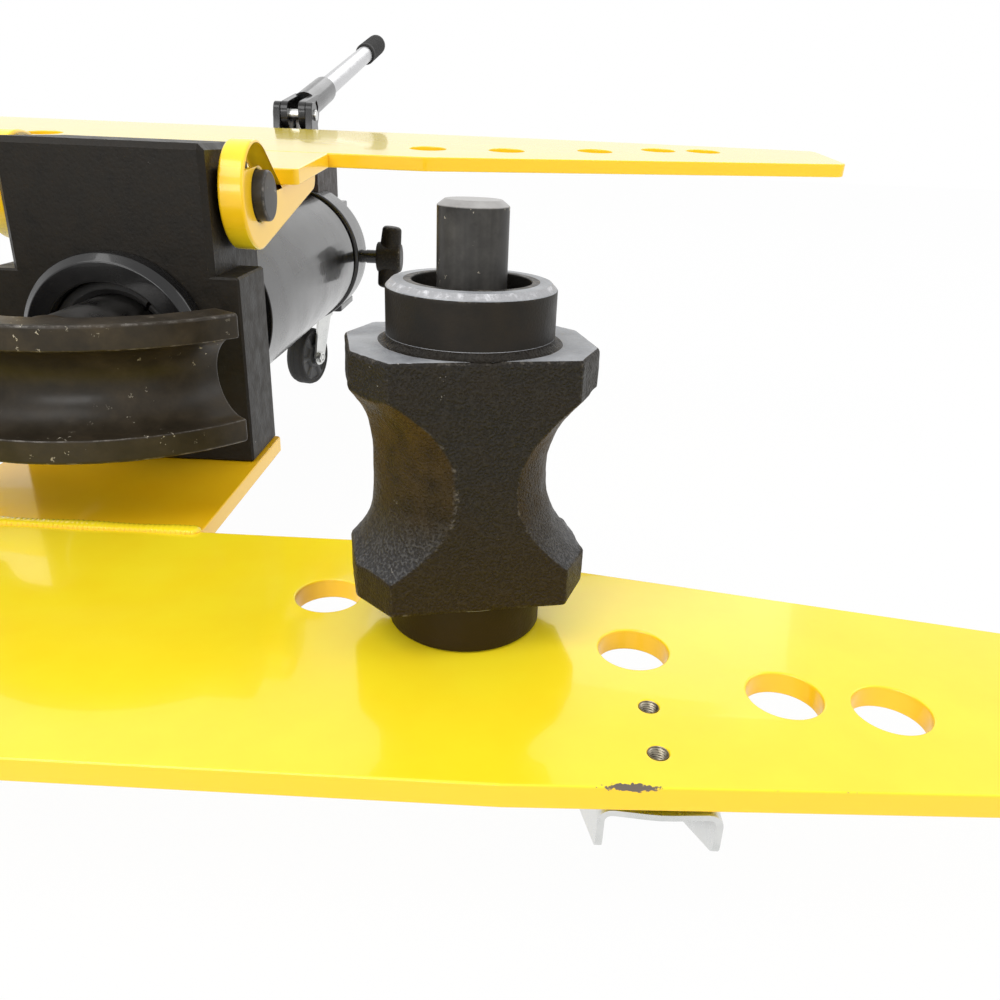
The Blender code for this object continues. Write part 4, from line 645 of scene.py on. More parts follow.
wing = {"halfLength": 0.590, "frontAhead": 0.328, "depth": 0.208, "shoulderX": 0.190, "rearSlant": 11.6,
        "noseX": 0.285, "frontSlant": 2.5, "corner": 0.010, "blunt": 0.03, "thickness": 0.012, "rim": 0.0011,
        "hole": 0.0175, "stations": ((0.186, 0.189), (0.261, 0.200), (0.348, 0.227), (0.415, 0.259), (0.462, 0.266)),
        "tapX": 0.350, "tapAhead": 0.2885, "tapPitch": 0.031, "tap": 0.0045,
        "lowerNeck": 0.091, "upperNeck": 0.105, "lowerNeckEnd": 0.062, "upperNeckEnd": -0.012, "upperWeldShort": 0.036,
        "gap": 0.176, "hingeBehind": 0.048, "hingeHeight": 0.187, "open": 175}
bead = {"radius": 0.0048, "puddle": 0.0032, "rows": 240, "columns": 24, "high": 0.62, "low": 0.12}
thread = {"pitch": 0.00125, "depth": 0.00062, "rows": 72, "columns": 48, "mouth": 0.0008}


# The wing's outline, from the front corner round by the tip to the rear edge: two mirrored straight slants
def wingOutline():
    w = wing
    front, rear, length = -w["frontAhead"], w["depth"] - w["frontAhead"], w["halfLength"]
    tipFront = front + (length - w["noseX"]) * math.tan(math.radians(w["frontSlant"]))
    tipRear = rear - (length - w["shoulderX"]) * math.tan(math.radians(w["rearSlant"]))
    half = [(w["noseX"], front, w["blunt"]), (length, tipFront, w["corner"]), (length, tipRear, w["corner"]),
            (w["shoulderX"], rear, w["blunt"])]
    return roundedPath(half + [(-x, y, r) for x, y, r in reversed(half)], steps=6)


# The outline and both rows of pin holes, with the tapped holes in the lower wing
def wingLoops(tapped):
    loops = [wingOutline()]
    for side in (-1, 1):
        loops += [circle(side * x, -ahead, wing["hole"]) for x, ahead in wing["stations"]]
        if tapped:
            loops += [circle(side * wing["tapX"], shift * wing["tapPitch"] / 2 - wing["tapAhead"], wing["tap"], 40)
                      for shift in (-1, 1)]
    return loops


# The hinge's turn as a matrix: about the pin's line, by the open angle, so a closed wing lies open
def opened():
    pivot = at(0, wing["hingeBehind"], wing["hingeHeight"])
    turn = Matrix.Rotation(-math.radians(wing["open"]), 4, "X")
    return np.array(Matrix.Translation(pivot) @ turn @ Matrix.Translation(-pivot))


# Half-round bead along X: its radius is r (1 + ripple), the ripple a saw of overlapping puddles
def weld(name, halfWidth, behind, height, matrix, body, node):
    b = bead
    along = np.linspace(-halfWidth, halfWidth, b["rows"])[:, None]
    swell = 1 + 0.10 * np.sin(along * 95) + 0.14 * (np.mod(along / b["puddle"], 1.0) - 0.5)
    swell *= np.minimum(1, np.minimum(along + halfWidth, halfWidth - along) / 0.004 + 0.05) ** 0.5
    angle = fullTurn(b["columns"])
    lift = np.where(np.sin(angle) > 0, b["high"], b["low"])
    points = np.stack([along + 0 * angle, behind + b["radius"] * swell * np.cos(angle),
                       height + b["radius"] * swell * np.sin(angle) * lift], -1)
    faces = gridQuads(b["rows"], b["columns"]) + endCaps(b["rows"], b["columns"])
    makePiece(name, [(carried(points, matrix), faces, np.zeros(points[..., 0].size))], yellow, body, node)


# A thread's crest at height z and angle a: a triangle wave of z / pitch - a / 2 pi, 0 to 1
def threadWave(z, angle, pitch):
    return np.abs(np.mod(z / pitch - angle / (2 * math.pi), 1.0) * 2 - 1)


# Tapped hole: an inner wall of radius r - d (1 - wave), plain at its mouth, in a plain outer wall
def threadSleeve(name, x, ahead, body):
    t, wall, top = thread, wing["tap"] - 0.0001, -0.0002
    z = np.linspace(0.0004 - wing["thickness"], top, t["rows"])[:, None]
    angle = fullTurn(t["columns"])[None]
    mouth = np.clip((top - z) / t["mouth"], 0, 1)
    inner = wall - 0.0001 - t["depth"] * (1 - threadWave(z, angle, t["pitch"])) * mouth
    points = np.concatenate([polar(inner, angle, z), polar(wall, angle, z[-1, 0]), polar(wall, angle, z[0, 0])])
    faces = gridQuads(t["rows"] + 2, t["columns"], closeRows=True)
    makePiece(name, [(carried(points, frameAt(at(x, -ahead, 0))), faces, np.zeros(points[..., 0].size))],
              threadSteel, body)


# Both plates with their necks and welds, the upper ones turned open about the hinge
def buildWings():
    rear, thick = wing["depth"] - wing["frontAhead"], wing["thickness"]
    levels = (("lower", 0, np.eye(4), "frame", yellowNeckShaded, 0),
              ("upper", wing["gap"] + thick, opened(), "upper_wing", yellow, wing["upperWeldShort"]))
    for level, height, turn, body, neckFinish, weldShort in levels:
        place = turn @ frameAt(at(0, 0, height))
        half, end = wing[f"{level}Neck"], wing[f"{level}NeckEnd"]
        neck = roundedPath([(half, rear + gap, 0.0015), (half, end, 0.004), (-half, end, 0.004),
                            (-half, rear + gap, 0.0015)])
        makePiece(f"{level}_wing", [platePiece(wingLoops(level == "lower"), -thick, 0, wing["rim"], place)], yellow,
                  body, f"{level}_wing_plate")
        makePiece(f"{level}_neck", [platePiece([neck], -thick, 0, wing["rim"], place)], neckFinish, body,
                  f"{level}_neck_plate")
        weld(f"{level}_weld", half - weldShort, seatFront + rear, deckTop + height, turn, body, f"{level}_neck_weld")
    for side, label in ((-1, "left"), (1, "right")):
        for shift, end in ((-1, "front"), (1, "rear")):
            threadSleeve(f"tapped_thread_{label}_{end}", side * wing["tapX"],
                         wing["tapAhead"] - shift * wing["tapPitch"] / 2, "frame")
    print("wings, necks and welds built")


lug = {"thickness": 0.018, "inside": 0.074, "radius": 0.0375, "length": 0.171, "noseHeight": 0.0185,
       "neckBack": 0.060, "pin": 0.0175, "pinProud": 0.008, "pinChamfer": 0.0022, "rim": 0.0022, "low": 42}


# Side view of a lug: an arc round the pin, a straight sole on the neck and a rising top edge
def lugOutline():
    sole = wing["gap"] + wing["thickness"] - wing["hingeHeight"] + gap
    lift = math.asin((lug["radius"] - lug["noseHeight"]) / lug["length"])
    angle = np.linspace(math.pi / 2 - lift, 1.5 * math.pi + math.radians(lug["low"]), 60)
    arc = polar(lug["radius"], angle, 0)[:, :2]
    end = roundedPath([(*arc[-1], 0), (lug["neckBack"], sole, 0.003), (lug["length"], sole, 0.002),
                       (lug["length"] - 0.002, lug["noseHeight"], 0.012), (*arc[0], 0)], closed=False)
    return np.concatenate([arc, end[1:-1, :2]])


# Two lugs, each its outline and its pin hole carried through its thickness, and the turned pin
def buildHinge():
    hinge = at(0, wing["hingeBehind"], wing["hingeHeight"])
    for side, label in ((-1, "left"), (1, "right")):
        x = side * (lug["inside"] + lug["thickness"] / 2)
        # the lug's plane: its first axis points ahead, its second up
        local = frameAt(hinge + [x, 0, 0], (-1, 0, 0), (0, -1, 0))
        surface = platePiece([lugOutline(), circle(0, 0, lug["pin"] + gap)], -lug["thickness"] / 2,
                             lug["thickness"] / 2, lug["rim"], opened() @ local)
        makePiece(f"lug_{label}", [surface], yellow, "upper_wing", f"hinge_lug_{label}")
    half, radius, chamfer = lug["inside"] + lug["thickness"] + lug["pinProud"], lug["pin"], lug["pinChamfer"]
    profile = [(0, half, 0), (radius, half, chamfer), (radius, -half, chamfer), (0, -half, 0)]
    makePiece("hinge_pin_turned", [lathe(profile, facingX(hinge))], pinSteel, "frame", "hinge_pin")
    print("hinge lugs and pin built")


# a groove's numbers: shift and radius of its disc, how far and by which power the disc grows to its lip
roller = {"hub": 0.039, "height": 0.1734, "blockLow": 0.025, "blockHigh": 0.146, "halfWidth": 0.057,
          "halfDepth": 0.042, "cornerX": 0.0147, "cornerY": 0.023, "turn": 13.6, "bore": 0.0165,
          "counterbore": 0.0271, "counterboreDepth": 0.030, "chamfer": 0.0028, "columns": 400, "rows": 104,
          "large": {"shift": -0.00255, "radius": 0.0432, "lip": 0.0145, "halfHeight": 0.0435, "power": 3.2},
          "small": {"shift": -0.0128, "radius": 0.0509, "lip": 0.0190, "halfHeight": 0.0420, "power": 2.3},
          "rim": 0.0016, "lumps": 0.00030, "ripple": 0.00016, "join": 150.0, "unit": 0.05}


# Reach of the roller's block at each angle and height. The eight-sided outline reaches d / (n . u) along u;
# a groove leaves only the disc (c, R(z)), which reaches c . u + sqrt((c . u)^2 - c^2 + R^2). The nearest
# wins, softly: the reaches are joined as (sum of r^-p)^(-1/p), which also rounds the corners.
def rollerReach(angle, z, side):
    a, b, power, unit = roller["halfWidth"], roller["halfDepth"], roller["join"], roller["unit"]
    ray = polar(1, angle, 0)[:, :2]
    slant = np.array([roller["cornerY"], roller["cornerX"]])
    slant = slant / np.linalg.norm(slant)
    reach = slant @ np.array([a, b - roller["cornerY"]])
    normals = [(1, 0, a), (-1, 0, a), (0, 1, b), (0, -1, b)]
    normals += [(sx * slant[0], sy * slant[1], reach) for sx in (-1, 1) for sy in (-1, 1)]
    total = np.zeros((len(z), len(angle)))
    best, grooves = np.zeros_like(total), np.zeros_like(total)
    for nx, ny, far in normals:
        share = (unit * np.maximum(ray @ np.array([nx, ny]), 1e-4) / far) ** power
        total += share
        best = np.maximum(best, share)
    for groove, half in ((roller["large"], -side), (roller["small"], side)):
        centre = side * groove["shift"]
        along = ray[:, 0] * centre
        grown = groove["radius"] + groove["lip"] * np.abs(z / groove["halfHeight"]) ** groove["power"]
        inside = along[None] ** 2 - centre ** 2 + grown[:, None] ** 2
        disc = along[None] + np.sqrt(np.maximum(inside, 1e-8))
        cut = (ray[:, 0] * half > 0)[None] & (np.abs(z) < groove["halfHeight"])[:, None]
        share = np.where(cut, (unit / disc) ** power, 0)
        total += share
        grooves += share
        best = np.maximum(best, share)
    worn = 4 * (best / total) * (1 - best / total)
    return unit * total ** (-1 / power), np.clip(worn * 1.2, 0, 1), grooves / total


# A roller as a closed stack of rings (r cos a, r sin a, z): up the bore, over the hub's rim and the block's
# top, down the block's sides, whose radius is the reach above plus a casting's unevenness, and back below
def rollerPiece(label, side):
    r, value = roller, castValue
    x, ahead = wing["stations"][1]
    turn = math.radians(side * r["turn"])
    base = frameAt(at(side * x, -ahead, gap), side=(math.cos(turn), math.sin(turn), 0))
    angle = fullTurn(r["columns"])
    blockLow, blockHigh, bevel, hub, top, rim = (r[key] for key in ("blockLow", "blockHigh", "chamfer", "hub",
                                                                    "height", "rim"))
    middle, half = (blockLow + blockHigh) / 2, (blockHigh - blockLow) / 2
    z = np.concatenate([[-half], np.linspace(-half + rim, half - rim, r["rows"]), [half]])
    reach, worn, grooved = rollerReach(angle, z, side)
    rows, edges, casts = [], [], []

    def ring(radius, height, edge=0.0, cast=value["hub"]):
        rows.append(polar(radius, angle, height))
        edges.append(edge + 0 * angle)
        casts.append(cast + 0 * angle)

    # up the bore and round the counterbore to the hub's rim
    shelf = top - r["counterboreDepth"]
    for place in ((r["bore"], 0.001), (r["bore"], shelf), (r["counterbore"], shelf),
                  (r["counterbore"], top - 0.0006, 0.3), (r["counterbore"] + 0.0006, top, 1.0),
                  (hub - bevel - 0.0006, top, 0.35, value["ring"]), (hub - bevel, top - 0.0002, 0.95, value["rim"]),
                  (hub - 0.0006, top - bevel * 0.86, 0.75, value["rim"]), (hub, top - bevel - 0.0004, 0.8)):
        ring(*place)
    for height in np.linspace(top - bevel - 0.002, blockHigh + 0.0035, 10):
        ring(hub, height)
    # the casting's fillet at the hub's foot, a little ragged
    uneven = 0.00035 * np.sin(3 * angle + 1) + 0.0002 * np.sin(11 * angle)
    for k in np.linspace(0, 1, 4):
        fillet = 0.0024 * (1 - math.cos(k * math.pi / 2))
        ring(hub + fillet + uneven * k, blockHigh + 0.0030 * (1 - math.sin(k * math.pi / 2)), 0.45, value["fillet"])
    inner, outer = hub + 0.0026, reach[-1]
    for k in np.linspace(0.08, 1, 12) ** 0.8:
        ring(inner + (outer - rim - inner) * k, blockHigh, 0.0, value["top"])
    for k in (0.35, 0.75):
        ring(outer - rim * (1 - k), blockHigh - rim * (1 - math.sqrt(1 - k * k)), 0.8, value["topRounding"])
    start = len(rows)
    for i in range(len(z) - 2, 0, -1):
        atEnd = 0.6 if i in (1, len(z) - 2) else 0
        ring(reach[i], middle + z[i], np.clip(worn[i] * 0.85 + atEnd, 0, 1),
             value["side"] + (value["groove"] - value["side"]) * grooved[i])
    end = len(rows)
    inner, outer = hub + 0.0015, reach[0]
    for k in (0.75, 0.35):
        ring(outer - rim * (1 - k), blockLow + rim * (1 - math.sqrt(1 - k * k)), 0.8, value["low"])
    for k in (1 - np.linspace(0, 0.92, 10)) ** 0.8:
        ring(inner + (outer - rim - inner) * k, blockLow, 0.0, value["low"])
    ring(hub, blockLow - 0.0015, 0.2)
    for height in np.linspace(blockLow - 0.002, 0.0012, 8):
        ring(hub, height)
    ring(hub - 0.0012, 0.0, 0.6)
    ring(r["bore"] + 0.001, 0.0, 0.3)
    points = np.stack(rows)
    # the cast sides are uneven: the reach grows and shrinks with two scales of waves
    skin = points[start:end].reshape(-1, 3)
    swell = r["lumps"] * unevenness(skin, 0.018, 3) + r["ripple"] * unevenness(skin, 0.0052, 4)
    weight = np.ones((end - start, 1))
    weight[0] = weight[-1] = 0.5
    points[start:end] += (swell.reshape(end - start, -1) * weight)[..., None] * polar(1, angle, 0)
    # the block's top rim is chipped here and there
    nibble = np.clip(unevenness(points[start - 2:start].reshape(-1, 3), 0.006, 9) - 0.25, 0, 1).reshape(2, -1)
    points[start - 2:start, :, 2] -= 0.0009 * nibble
    faces = gridQuads(len(rows), r["columns"], closeRows=True)
    makePiece(f"roller_{label}", [(carried(points, base), faces, np.concatenate(edges))], castRoller,
              f"roller_{label}", f"bending_roller_{label}", sharp=50, cast=np.concatenate(casts))


pin = {"radius": 0.016, "top": 0.208, "below": 0.018, "chamfer": 0.0026, "ringRadius": 0.0171, "ringLength": 0.003}


# A turned pin with a locating ring, its chamfer standing steep at the top as on a pin faced off in a lathe
def pinPiece(label, side):
    x, ahead = wing["stations"][1]
    low = gap + roller["height"] - roller["counterboreDepth"] + gap
    high = low + pin["ringLength"]
    radius, ring, top, bottom, chamfer = pin["radius"], pin["ringRadius"], pin["top"], -pin["below"], pin["chamfer"]
    corners = [(0, top, 0), (radius - chamfer * 1.3, top, 0.0008), (radius, top - chamfer, 0.0008),
               (radius, high, 0), (ring, high, 0.0004), (ring, low, 0.0004), (radius, low, 0),
               (radius, bottom + chamfer, 0.0005), (radius - chamfer, bottom, 0.0005), (0, bottom, 0)]
    makePiece(f"pin_{label}", [lathe(corners, frameAt(at(side * x, -ahead, 0)), 96)], pinSteel, f"loose_pin_{label}",
              f"roller_pin_{label}")


# Both rollers with their pins, the left ones mirrored
def buildRollers():
    for side, label in ((-1, "left"), (1, "right")):
        rollerPiece(label, side)
        pinPiece(label, side)
    print("rollers and their pins built")


die = {"radius": 0.1386, "halfAngle": 54.4, "halfHeight": 0.041, "groove": 0.026, "flange": 0.022,
       "backRadius": 0.098, "backHalf": 0.024, "boss": 0.036, "bore": 0.0143, "web": 0.004, "ahead": 0.084,
       "height": 0.088, "rim": 0.0022, "lip": 0.0012, "endRim": 0.0018, "steps": 132, "lumps": 0.00022}


# Section of the die in (distance from the bend's centre, height): two flanges, a round pipe groove
# between them and a narrower back
def dieSection():
    d = die
    angle = np.linspace(math.pi / 2, 1.5 * math.pi, 26)[2:-2]
    groove = polar(d["groove"], angle, 0) + [d["radius"], 0, 0]
    upper = roundedPath([(d["backRadius"], d["backHalf"], 0.004), (d["radius"] - d["flange"], d["halfHeight"], 0.002),
                         (d["radius"], d["halfHeight"], d["rim"]), (d["radius"], d["groove"], d["lip"]),
                         (d["radius"] - 0.004, d["groove"] * 0.985, 0), (d["backRadius"], 0, 0)])[:-2]
    return np.concatenate([upper, groove, upper[::-1] * [1, -1, 1]])


# Point (i, j) is section point i turned by angle j about the bend's centre; the ends are drawn in on a
# quarter arc and closed by a flat face
def dieSurface(matrix):
    section, rim, straight = dieSection(), die["endRim"], die["steps"] - 8
    normal = outward(section[:, :2])
    if normal[0, 0] > 0 and section[0, 0] < die["radius"]:
        normal = -normal
    half = math.radians(die["halfAngle"])
    quarter = np.linspace(0, math.pi / 2, 4)
    fromEnd = rim * (1 - np.sin(quarter))
    inset = np.concatenate([fromEnd, np.zeros(straight), fromEnd[::-1]])
    reach = half - rim * (1 - np.cos(quarter[::-1])) / die["radius"]
    turn = np.concatenate([-reach[::-1], np.linspace(-half + 0.02, half - 0.02, straight), reach])[:, None]
    flat = section[None, :, :2] - inset[:, None, None] * normal[None]
    worn = np.concatenate([np.sin(2 * quarter), np.zeros(straight), np.sin(2 * quarter[::-1])])
    radius, height = flat[..., 0], flat[..., 1]
    points = np.stack([radius * np.sin(turn), -radius * np.cos(turn), height], -1).reshape(-1, 3)
    edge = np.maximum(section[None, :, 2], worn[:, None] * 0.9)
    points = points + die["lumps"] * unevenness(points, 0.02, 12)[:, None] * [0.3, 0.3, 0.6]
    faces = gridQuads(len(turn), len(section))
    for row in (0, len(turn) - 1):
        faces += (filled([flat[row]]) + row * len(section)).tolist()
    return carried(points, matrix), faces, edge.reshape(-1)


# The die's shoe and the turned boss that its ram pushes, along the ram's line
def buildDie():
    d = die
    floorRadius = d["radius"] - d["groove"] - d["web"]
    length = math.sqrt(floorRadius ** 2 - d["boss"] ** 2) - d["ahead"] - gap
    line = frameAt(at(0, -d["ahead"] - gap, d["height"]), (0, -1, 0))
    boss = lathe([(d["bore"], 0, 0.0004), (d["boss"], 0, 0.0025), (d["boss"], length, 0), (d["bore"], length, 0)],
                 line, 96, True)
    makePiece("die", [dieSurface(frameAt(at(0, 0, d["height"]))), boss], dieSteel, "ram", "bending_die", sharp=42)
    print("bending die built")


ram = {"height": 0.088, "rod": 0.034, "ahead": 0.084, "nose": 0.014, "noseLength": 0.022, "pistonBehind": 0.300,
       "collar": 0.0635, "collarFace": 0.058, "collarBore": 0.0445, "collarLength": 0.018, "wiper": 0.008,
       "wiperSplit": 0.035, "wiperTurn": 48, "tube": 0.078, "bore": 0.065, "start": 0.104, "end": 0.452,
       "flange": 0.081, "flangeNeck": 0.073, "flangeNeckLength": 0.010, "flangeLength": 0.056}


# A piece turned about the ram's line, its profile given as (radius, behind, rounding)
def alongRam(name, finish, body, node, corners, closed=False):
    surface = lathe(corners, frameAt(at(0, 0, ram["height"]), (0, 1, 0)), 128, closed)
    makePiece(name, [surface], finish, body, node)


# The wiper ring is split: its section is carried round less than a full turn, (r cos a, y, r sin a), and both
# ends are closed
def buildWiper():
    inner, outer, end = ram["rod"] + gap, ram["collarBore"] - gap, -gap - ram["wiper"]
    section = roundedPath([(inner, -gap, 0), (outer, -gap, 0), (outer, end, 0.0015), (inner + 0.004, end, 0.001),
                           (inner, end + 0.004, 0.001)])
    steps, split = 120, ram["wiperSplit"]
    turn = np.linspace(split, 2 * math.pi - split, steps)[:, None] + math.radians(ram["wiperTurn"])
    radius, along = section[:, 0], section[:, 1]
    points = np.stack([radius * np.cos(turn), 0 * turn + along, radius * np.sin(turn)], -1).reshape(-1, 3)
    faces = gridQuads(steps, len(section)) + endCaps(steps, len(section))
    makePiece("wiper", [(points + at(0, 0, ram["height"]), faces, np.tile(section[:, 2], steps))], rubber, "frame",
              "rod_wiper")


# The rod with its nose, the gland collar, the cylinder's tube and the flange, all turned about the ram's line
def buildRam():
    r = ram
    tip = -r["ahead"] - r["noseLength"]
    alongRam("ram", rodSteel, "ram", "ram_rod",
             [(0, r["pistonBehind"] - gap, 0), (r["rod"], r["pistonBehind"] - gap, 0), (r["rod"], -r["ahead"], 0.002),
              (r["nose"], -r["ahead"], 0), (r["nose"], tip, 0.002), (0, tip, 0)])
    front = -gap - r["collarLength"]
    alongRam("collar", black, "frame", "gland_collar",
             [(r["collarBore"], -gap, 0), (r["collar"], -gap, 0.001),
              (r["collar"], front + r["collar"] - r["collarFace"], 0.003), (r["collarFace"], front, 0.002),
              (r["collarBore"], front, 0.0012)], True)
    buildWiper()
    alongRam("cylinder", black, "frame", "cylinder_tube",
             [(r["bore"], r["start"] + gap, 0), (r["tube"], r["start"] + gap, 0.001), (r["tube"], r["end"], 0.003),
              (r["bore"], r["end"], 0)], True)
    start = r["end"] + gap
    neckEnd = start + r["flangeNeckLength"]
    end = neckEnd + r["flangeLength"] - gap
    alongRam("flange", black, "frame", "rear_flange",
             [(0, start, 0), (r["flangeNeck"], start, 0), (r["flangeNeck"], neckEnd, 0), (r["flange"], neckEnd, 0.004),
              (r["flange"], end, 0.003), (0, end, 0)])
    print("ram, gland, cylinder and flange built")


# A threaded rod, closed at both ends: radius r - d (1 - wave), faded out at its chamfered ends
def threadedRod(radius, length, matrix, pitch=0.00125, depth=0.00065, columns=48):
    rows = int(length / pitch * 8)
    z = np.linspace(0, length, rows)[:, None]
    angle = fullTurn(columns)[None]
    fade = np.clip(np.minimum(z, length - z) / (1.2 * pitch), 0, 1)
    reach = (radius - depth * (1 - threadWave(z, angle, pitch))) * (1 - 0.16 * (1 - fade))
    points = np.concatenate([polar(0, angle, 0), polar(reach, angle, z), polar(0, angle, length)])
    return carried(points, matrix), gridQuads(rows + 2, columns), np.zeros(points[..., 0].size)


# A bolt put in from below: washer-faced hexagon head and a threaded shank
def hexBolt(name, node, acrossFlats, headHeight, radius, sunk=0.0):
    low, high, middle, _ = boxOf(node)
    x, y, _ = middle
    down = frameAt((x, y, low[2] + headHeight), (0, 0, -1), (0, 1, 0))
    up = frameAt((x, y, low[2] + headHeight * 0.5), (0, 0, 1), (0, 1, 0))
    face = lathe([(0, -0.0004, 0), (acrossFlats * 0.47, -0.0004, 0.0002), (acrossFlats * 0.47, 0.0006, 0),
                  (0, 0.0006, 0)], down, 48)
    shank = threadedRod(radius, high[2] - sunk - low[2] - headHeight * 0.5, up)
    makePiece(name, [hexPiece(acrossFlats, headHeight, down), face, shank], zincPlate, "frame", node)


seat = {"rounding": 0.0022, "across": 0.0218, "head": 0.009, "shank": 0.007}


# The seat keeps its solid's shape, and two bolts hold it from below
def buildSeat():
    roundedCopy("seat_casting", "seat_block", castSeat, "frame", seat["rounding"])
    for label in ("left", "right"):
        hexBolt(f"seat_screw_{label}", f"seat_bolt_{label}", seat["across"], seat["head"], seat["shank"])
    print("seat casting and its bolts built")


rest = {"saddleRounding": 0.0014, "padEdge": 0.0022, "padRibs": 5, "ribDepth": 0.0006, "rows": 61, "columns": 41}


# Rubber pad: a rounded box whose top carries shallow ribs across the wing, z = top - d (1 - cos n pi v) / 2
def buildRest():
    roundedCopy("rest_saddle", "wing_rest_saddle", black, "frame", rest["saddleRounding"])
    _, _, middle, size = boxOf("wing_rest_pad")
    rows, columns = rest["rows"], rest["columns"]
    u = np.linspace(-1, 1, rows)[:, None]
    v = np.linspace(-1, 1, columns)[None]
    fallOff = np.clip((1 - np.maximum(np.abs(u), np.abs(v))) / 0.10, 0, 1)
    groove = 0.5 - 0.5 * np.cos(math.pi * rest["padRibs"] * (v + 1))
    top = size[2] / 2 - rest["padEdge"] * (1 - np.sqrt(1 - (1 - fallOff) ** 2)) - rest["ribDepth"] * groove * fallOff
    shrink = 1 - 0.012 * (1 - fallOff)
    x, y = size[0] / 2 * u * shrink, size[1] / 2 * v * shrink
    points = np.concatenate([np.stack([x, y, top], -1), np.stack([x, y, 0 * top - size[2] / 2], -1)]).reshape(-1, 3)
    count = rows * columns
    quads = np.array(gridQuads(rows, columns, closeColumns=False))
    rim = np.concatenate([np.arange(columns), np.arange(1, rows) * columns + columns - 1,
                          (rows - 1) * columns + np.arange(columns - 2, -1, -1), np.arange(rows - 2, 0, -1) * columns])
    walls = np.stack([rim, np.roll(rim, -1), np.roll(rim, -1) + count, rim + count], -1)
    edge = np.concatenate([(1 - fallOff).reshape(-1) * 0.6, np.zeros(count)])
    makePiece("rest_pad", [(points + middle, quads.tolist() + (quads + count).tolist() + walls.tolist(), edge)],
              rubber, "frame", "wing_rest_pad")
    print("wing rest built")


wheels = {"tyre": 0.006, "dish": 0.0035, "hubShare": 0.45, "axle": 0.004, "across": 0.0132, "head": 0.005,
          "spokes": 6, "sunk": 0.0045, "screw": 0.0042, "columns": 96}


# A wheel about its axle: a tyre with a rounded tread and a fine parting ridge, and a dished disc whose
# face is ribbed: depth - rib height times a narrow wave of the angle, between hub and rim
def wheelPieces(name, radius, width, axleMatrix, body, node):
    w = wheels
    half, rim, dish, bore, columns = width / 2, radius - w["tyre"], w["dish"], w["axle"] + gap, w["columns"]
    hub = w["hubShare"] * rim
    tread = [(rim, half - 0.0012, 0), (rim + 0.0008, half - 0.0002, 0.0004), (radius - 0.0022, half - 0.0004, 0.0015),
             (radius, half - 0.0055, 0.0045), (radius, 0.0006, 0), (radius - 0.00025, 0.0003, 0)]
    tread += [(r, -z, rounding) for r, z, rounding in reversed(tread)]
    makePiece(f"{name}_tyre", [lathe(tread, axleMatrix, 72, True)], rubber, body, node)
    # radius, depth, how much of a rib it carries, and wear
    rings = np.array([(bore, 0, 0, 0), (bore, 0, 0, 0.4), (hub - 0.0006, 0, 0, 0.8), (hub, 0.0008, 0, 0.5),
                      (hub + 0.0006, 0.5 * dish, 0.3, 0), (hub + 0.0016, dish, 1, 0), ((hub + rim) / 2, dish, 1, 0),
                      (rim - 0.0018, dish, 1, 0), (rim - 0.0008, 0.4 * dish, 0.2, 0.5), (rim - 0.0002, 0.0006, 0, 0.8)])
    angle = fullTurn(columns)
    rib = np.clip(np.cos(w["spokes"] * angle) * 3 - 1.6, 0, 1) ** 0.7
    face = half - 0.0004 - (rings[:, 1:2] - rings[:, 2:3] * rib[None] * 0.75 * dish)
    face[0] = 0.0
    side = polar(rings[:, :1], angle, face)
    grid = np.concatenate([side, side[:0:-1] * [1, 1, -1]])
    edge = np.repeat(np.concatenate([rings[:, 3], rings[:0:-1, 3]]), columns)
    makePiece(f"{name}_disc", [(carried(grid, axleMatrix), gridQuads(len(grid), columns, True), edge)], nylon, body)


# Axle bolt and nut, the head at the far end of the axis
def axleSet(name, centre, along, halfGrip, body, boltNode, nutNode):
    w, along = wheels, np.array(along)
    reach = halfGrip + gap
    far, near = (frameAt(centre + along * shift, along, np.cross((0, 0, 1), along))
                 for shift in (reach, -reach - w["head"]))
    shank = threadedRod(w["axle"], 2 * (reach + w["head"]) - w["head"] * 0.5, near, 0.0010, 0.0004, 32)
    makePiece(f"{name}_bolt", [hexPiece(w["across"], w["head"], far), shank], zincPlate, body, boltNode)
    makePiece(f"{name}_nut", [hexPiece(w["across"], w["head"], near, w["axle"] + gap, True)], zincPlate, body, nutNode)


# Each front caster: its folded bracket, wheel, axle set and the two screws from below
def buildFrontCasters():
    for label in ("left", "right"):
        prefix = f"front_caster_{label}"
        roundedCopy(f"caster_{label}_bracket", f"{prefix}_bracket", zincPlate, "frame", 0.0008)
        _, _, centre, size = boxOf(f"{prefix}_wheel")
        wheelPieces(f"caster_{label}", size[2] / 2, size[0], facingX(centre), f"front_wheel_{label}",
                    f"{prefix}_wheel")
        axleSet(f"caster_{label}_axle", centre, (1, 0, 0), boxOf(f"{prefix}_bracket")[3][0] / 2, "frame",
                f"{prefix}_axle_bolt", f"{prefix}_axle_nut")
        for end in ("front", "rear"):
            hexBolt(f"caster_{label}_{end}_bolt", f"{prefix}_{end}_screw", wheels["across"], wheels["head"],
                    wheels["screw"], wheels["sunk"])
    print("front casters built")


rear = {"turn": 165, "trail": 0.022, "radius": 0.0375, "width": 0.024, "grip": 0.0175, "plate": (0.052, 0.064, 0.003),
        "plateCorner": 0.006, "cup": 0.0215, "baseRounding": 0.0014, "baseCorner": 0.005}


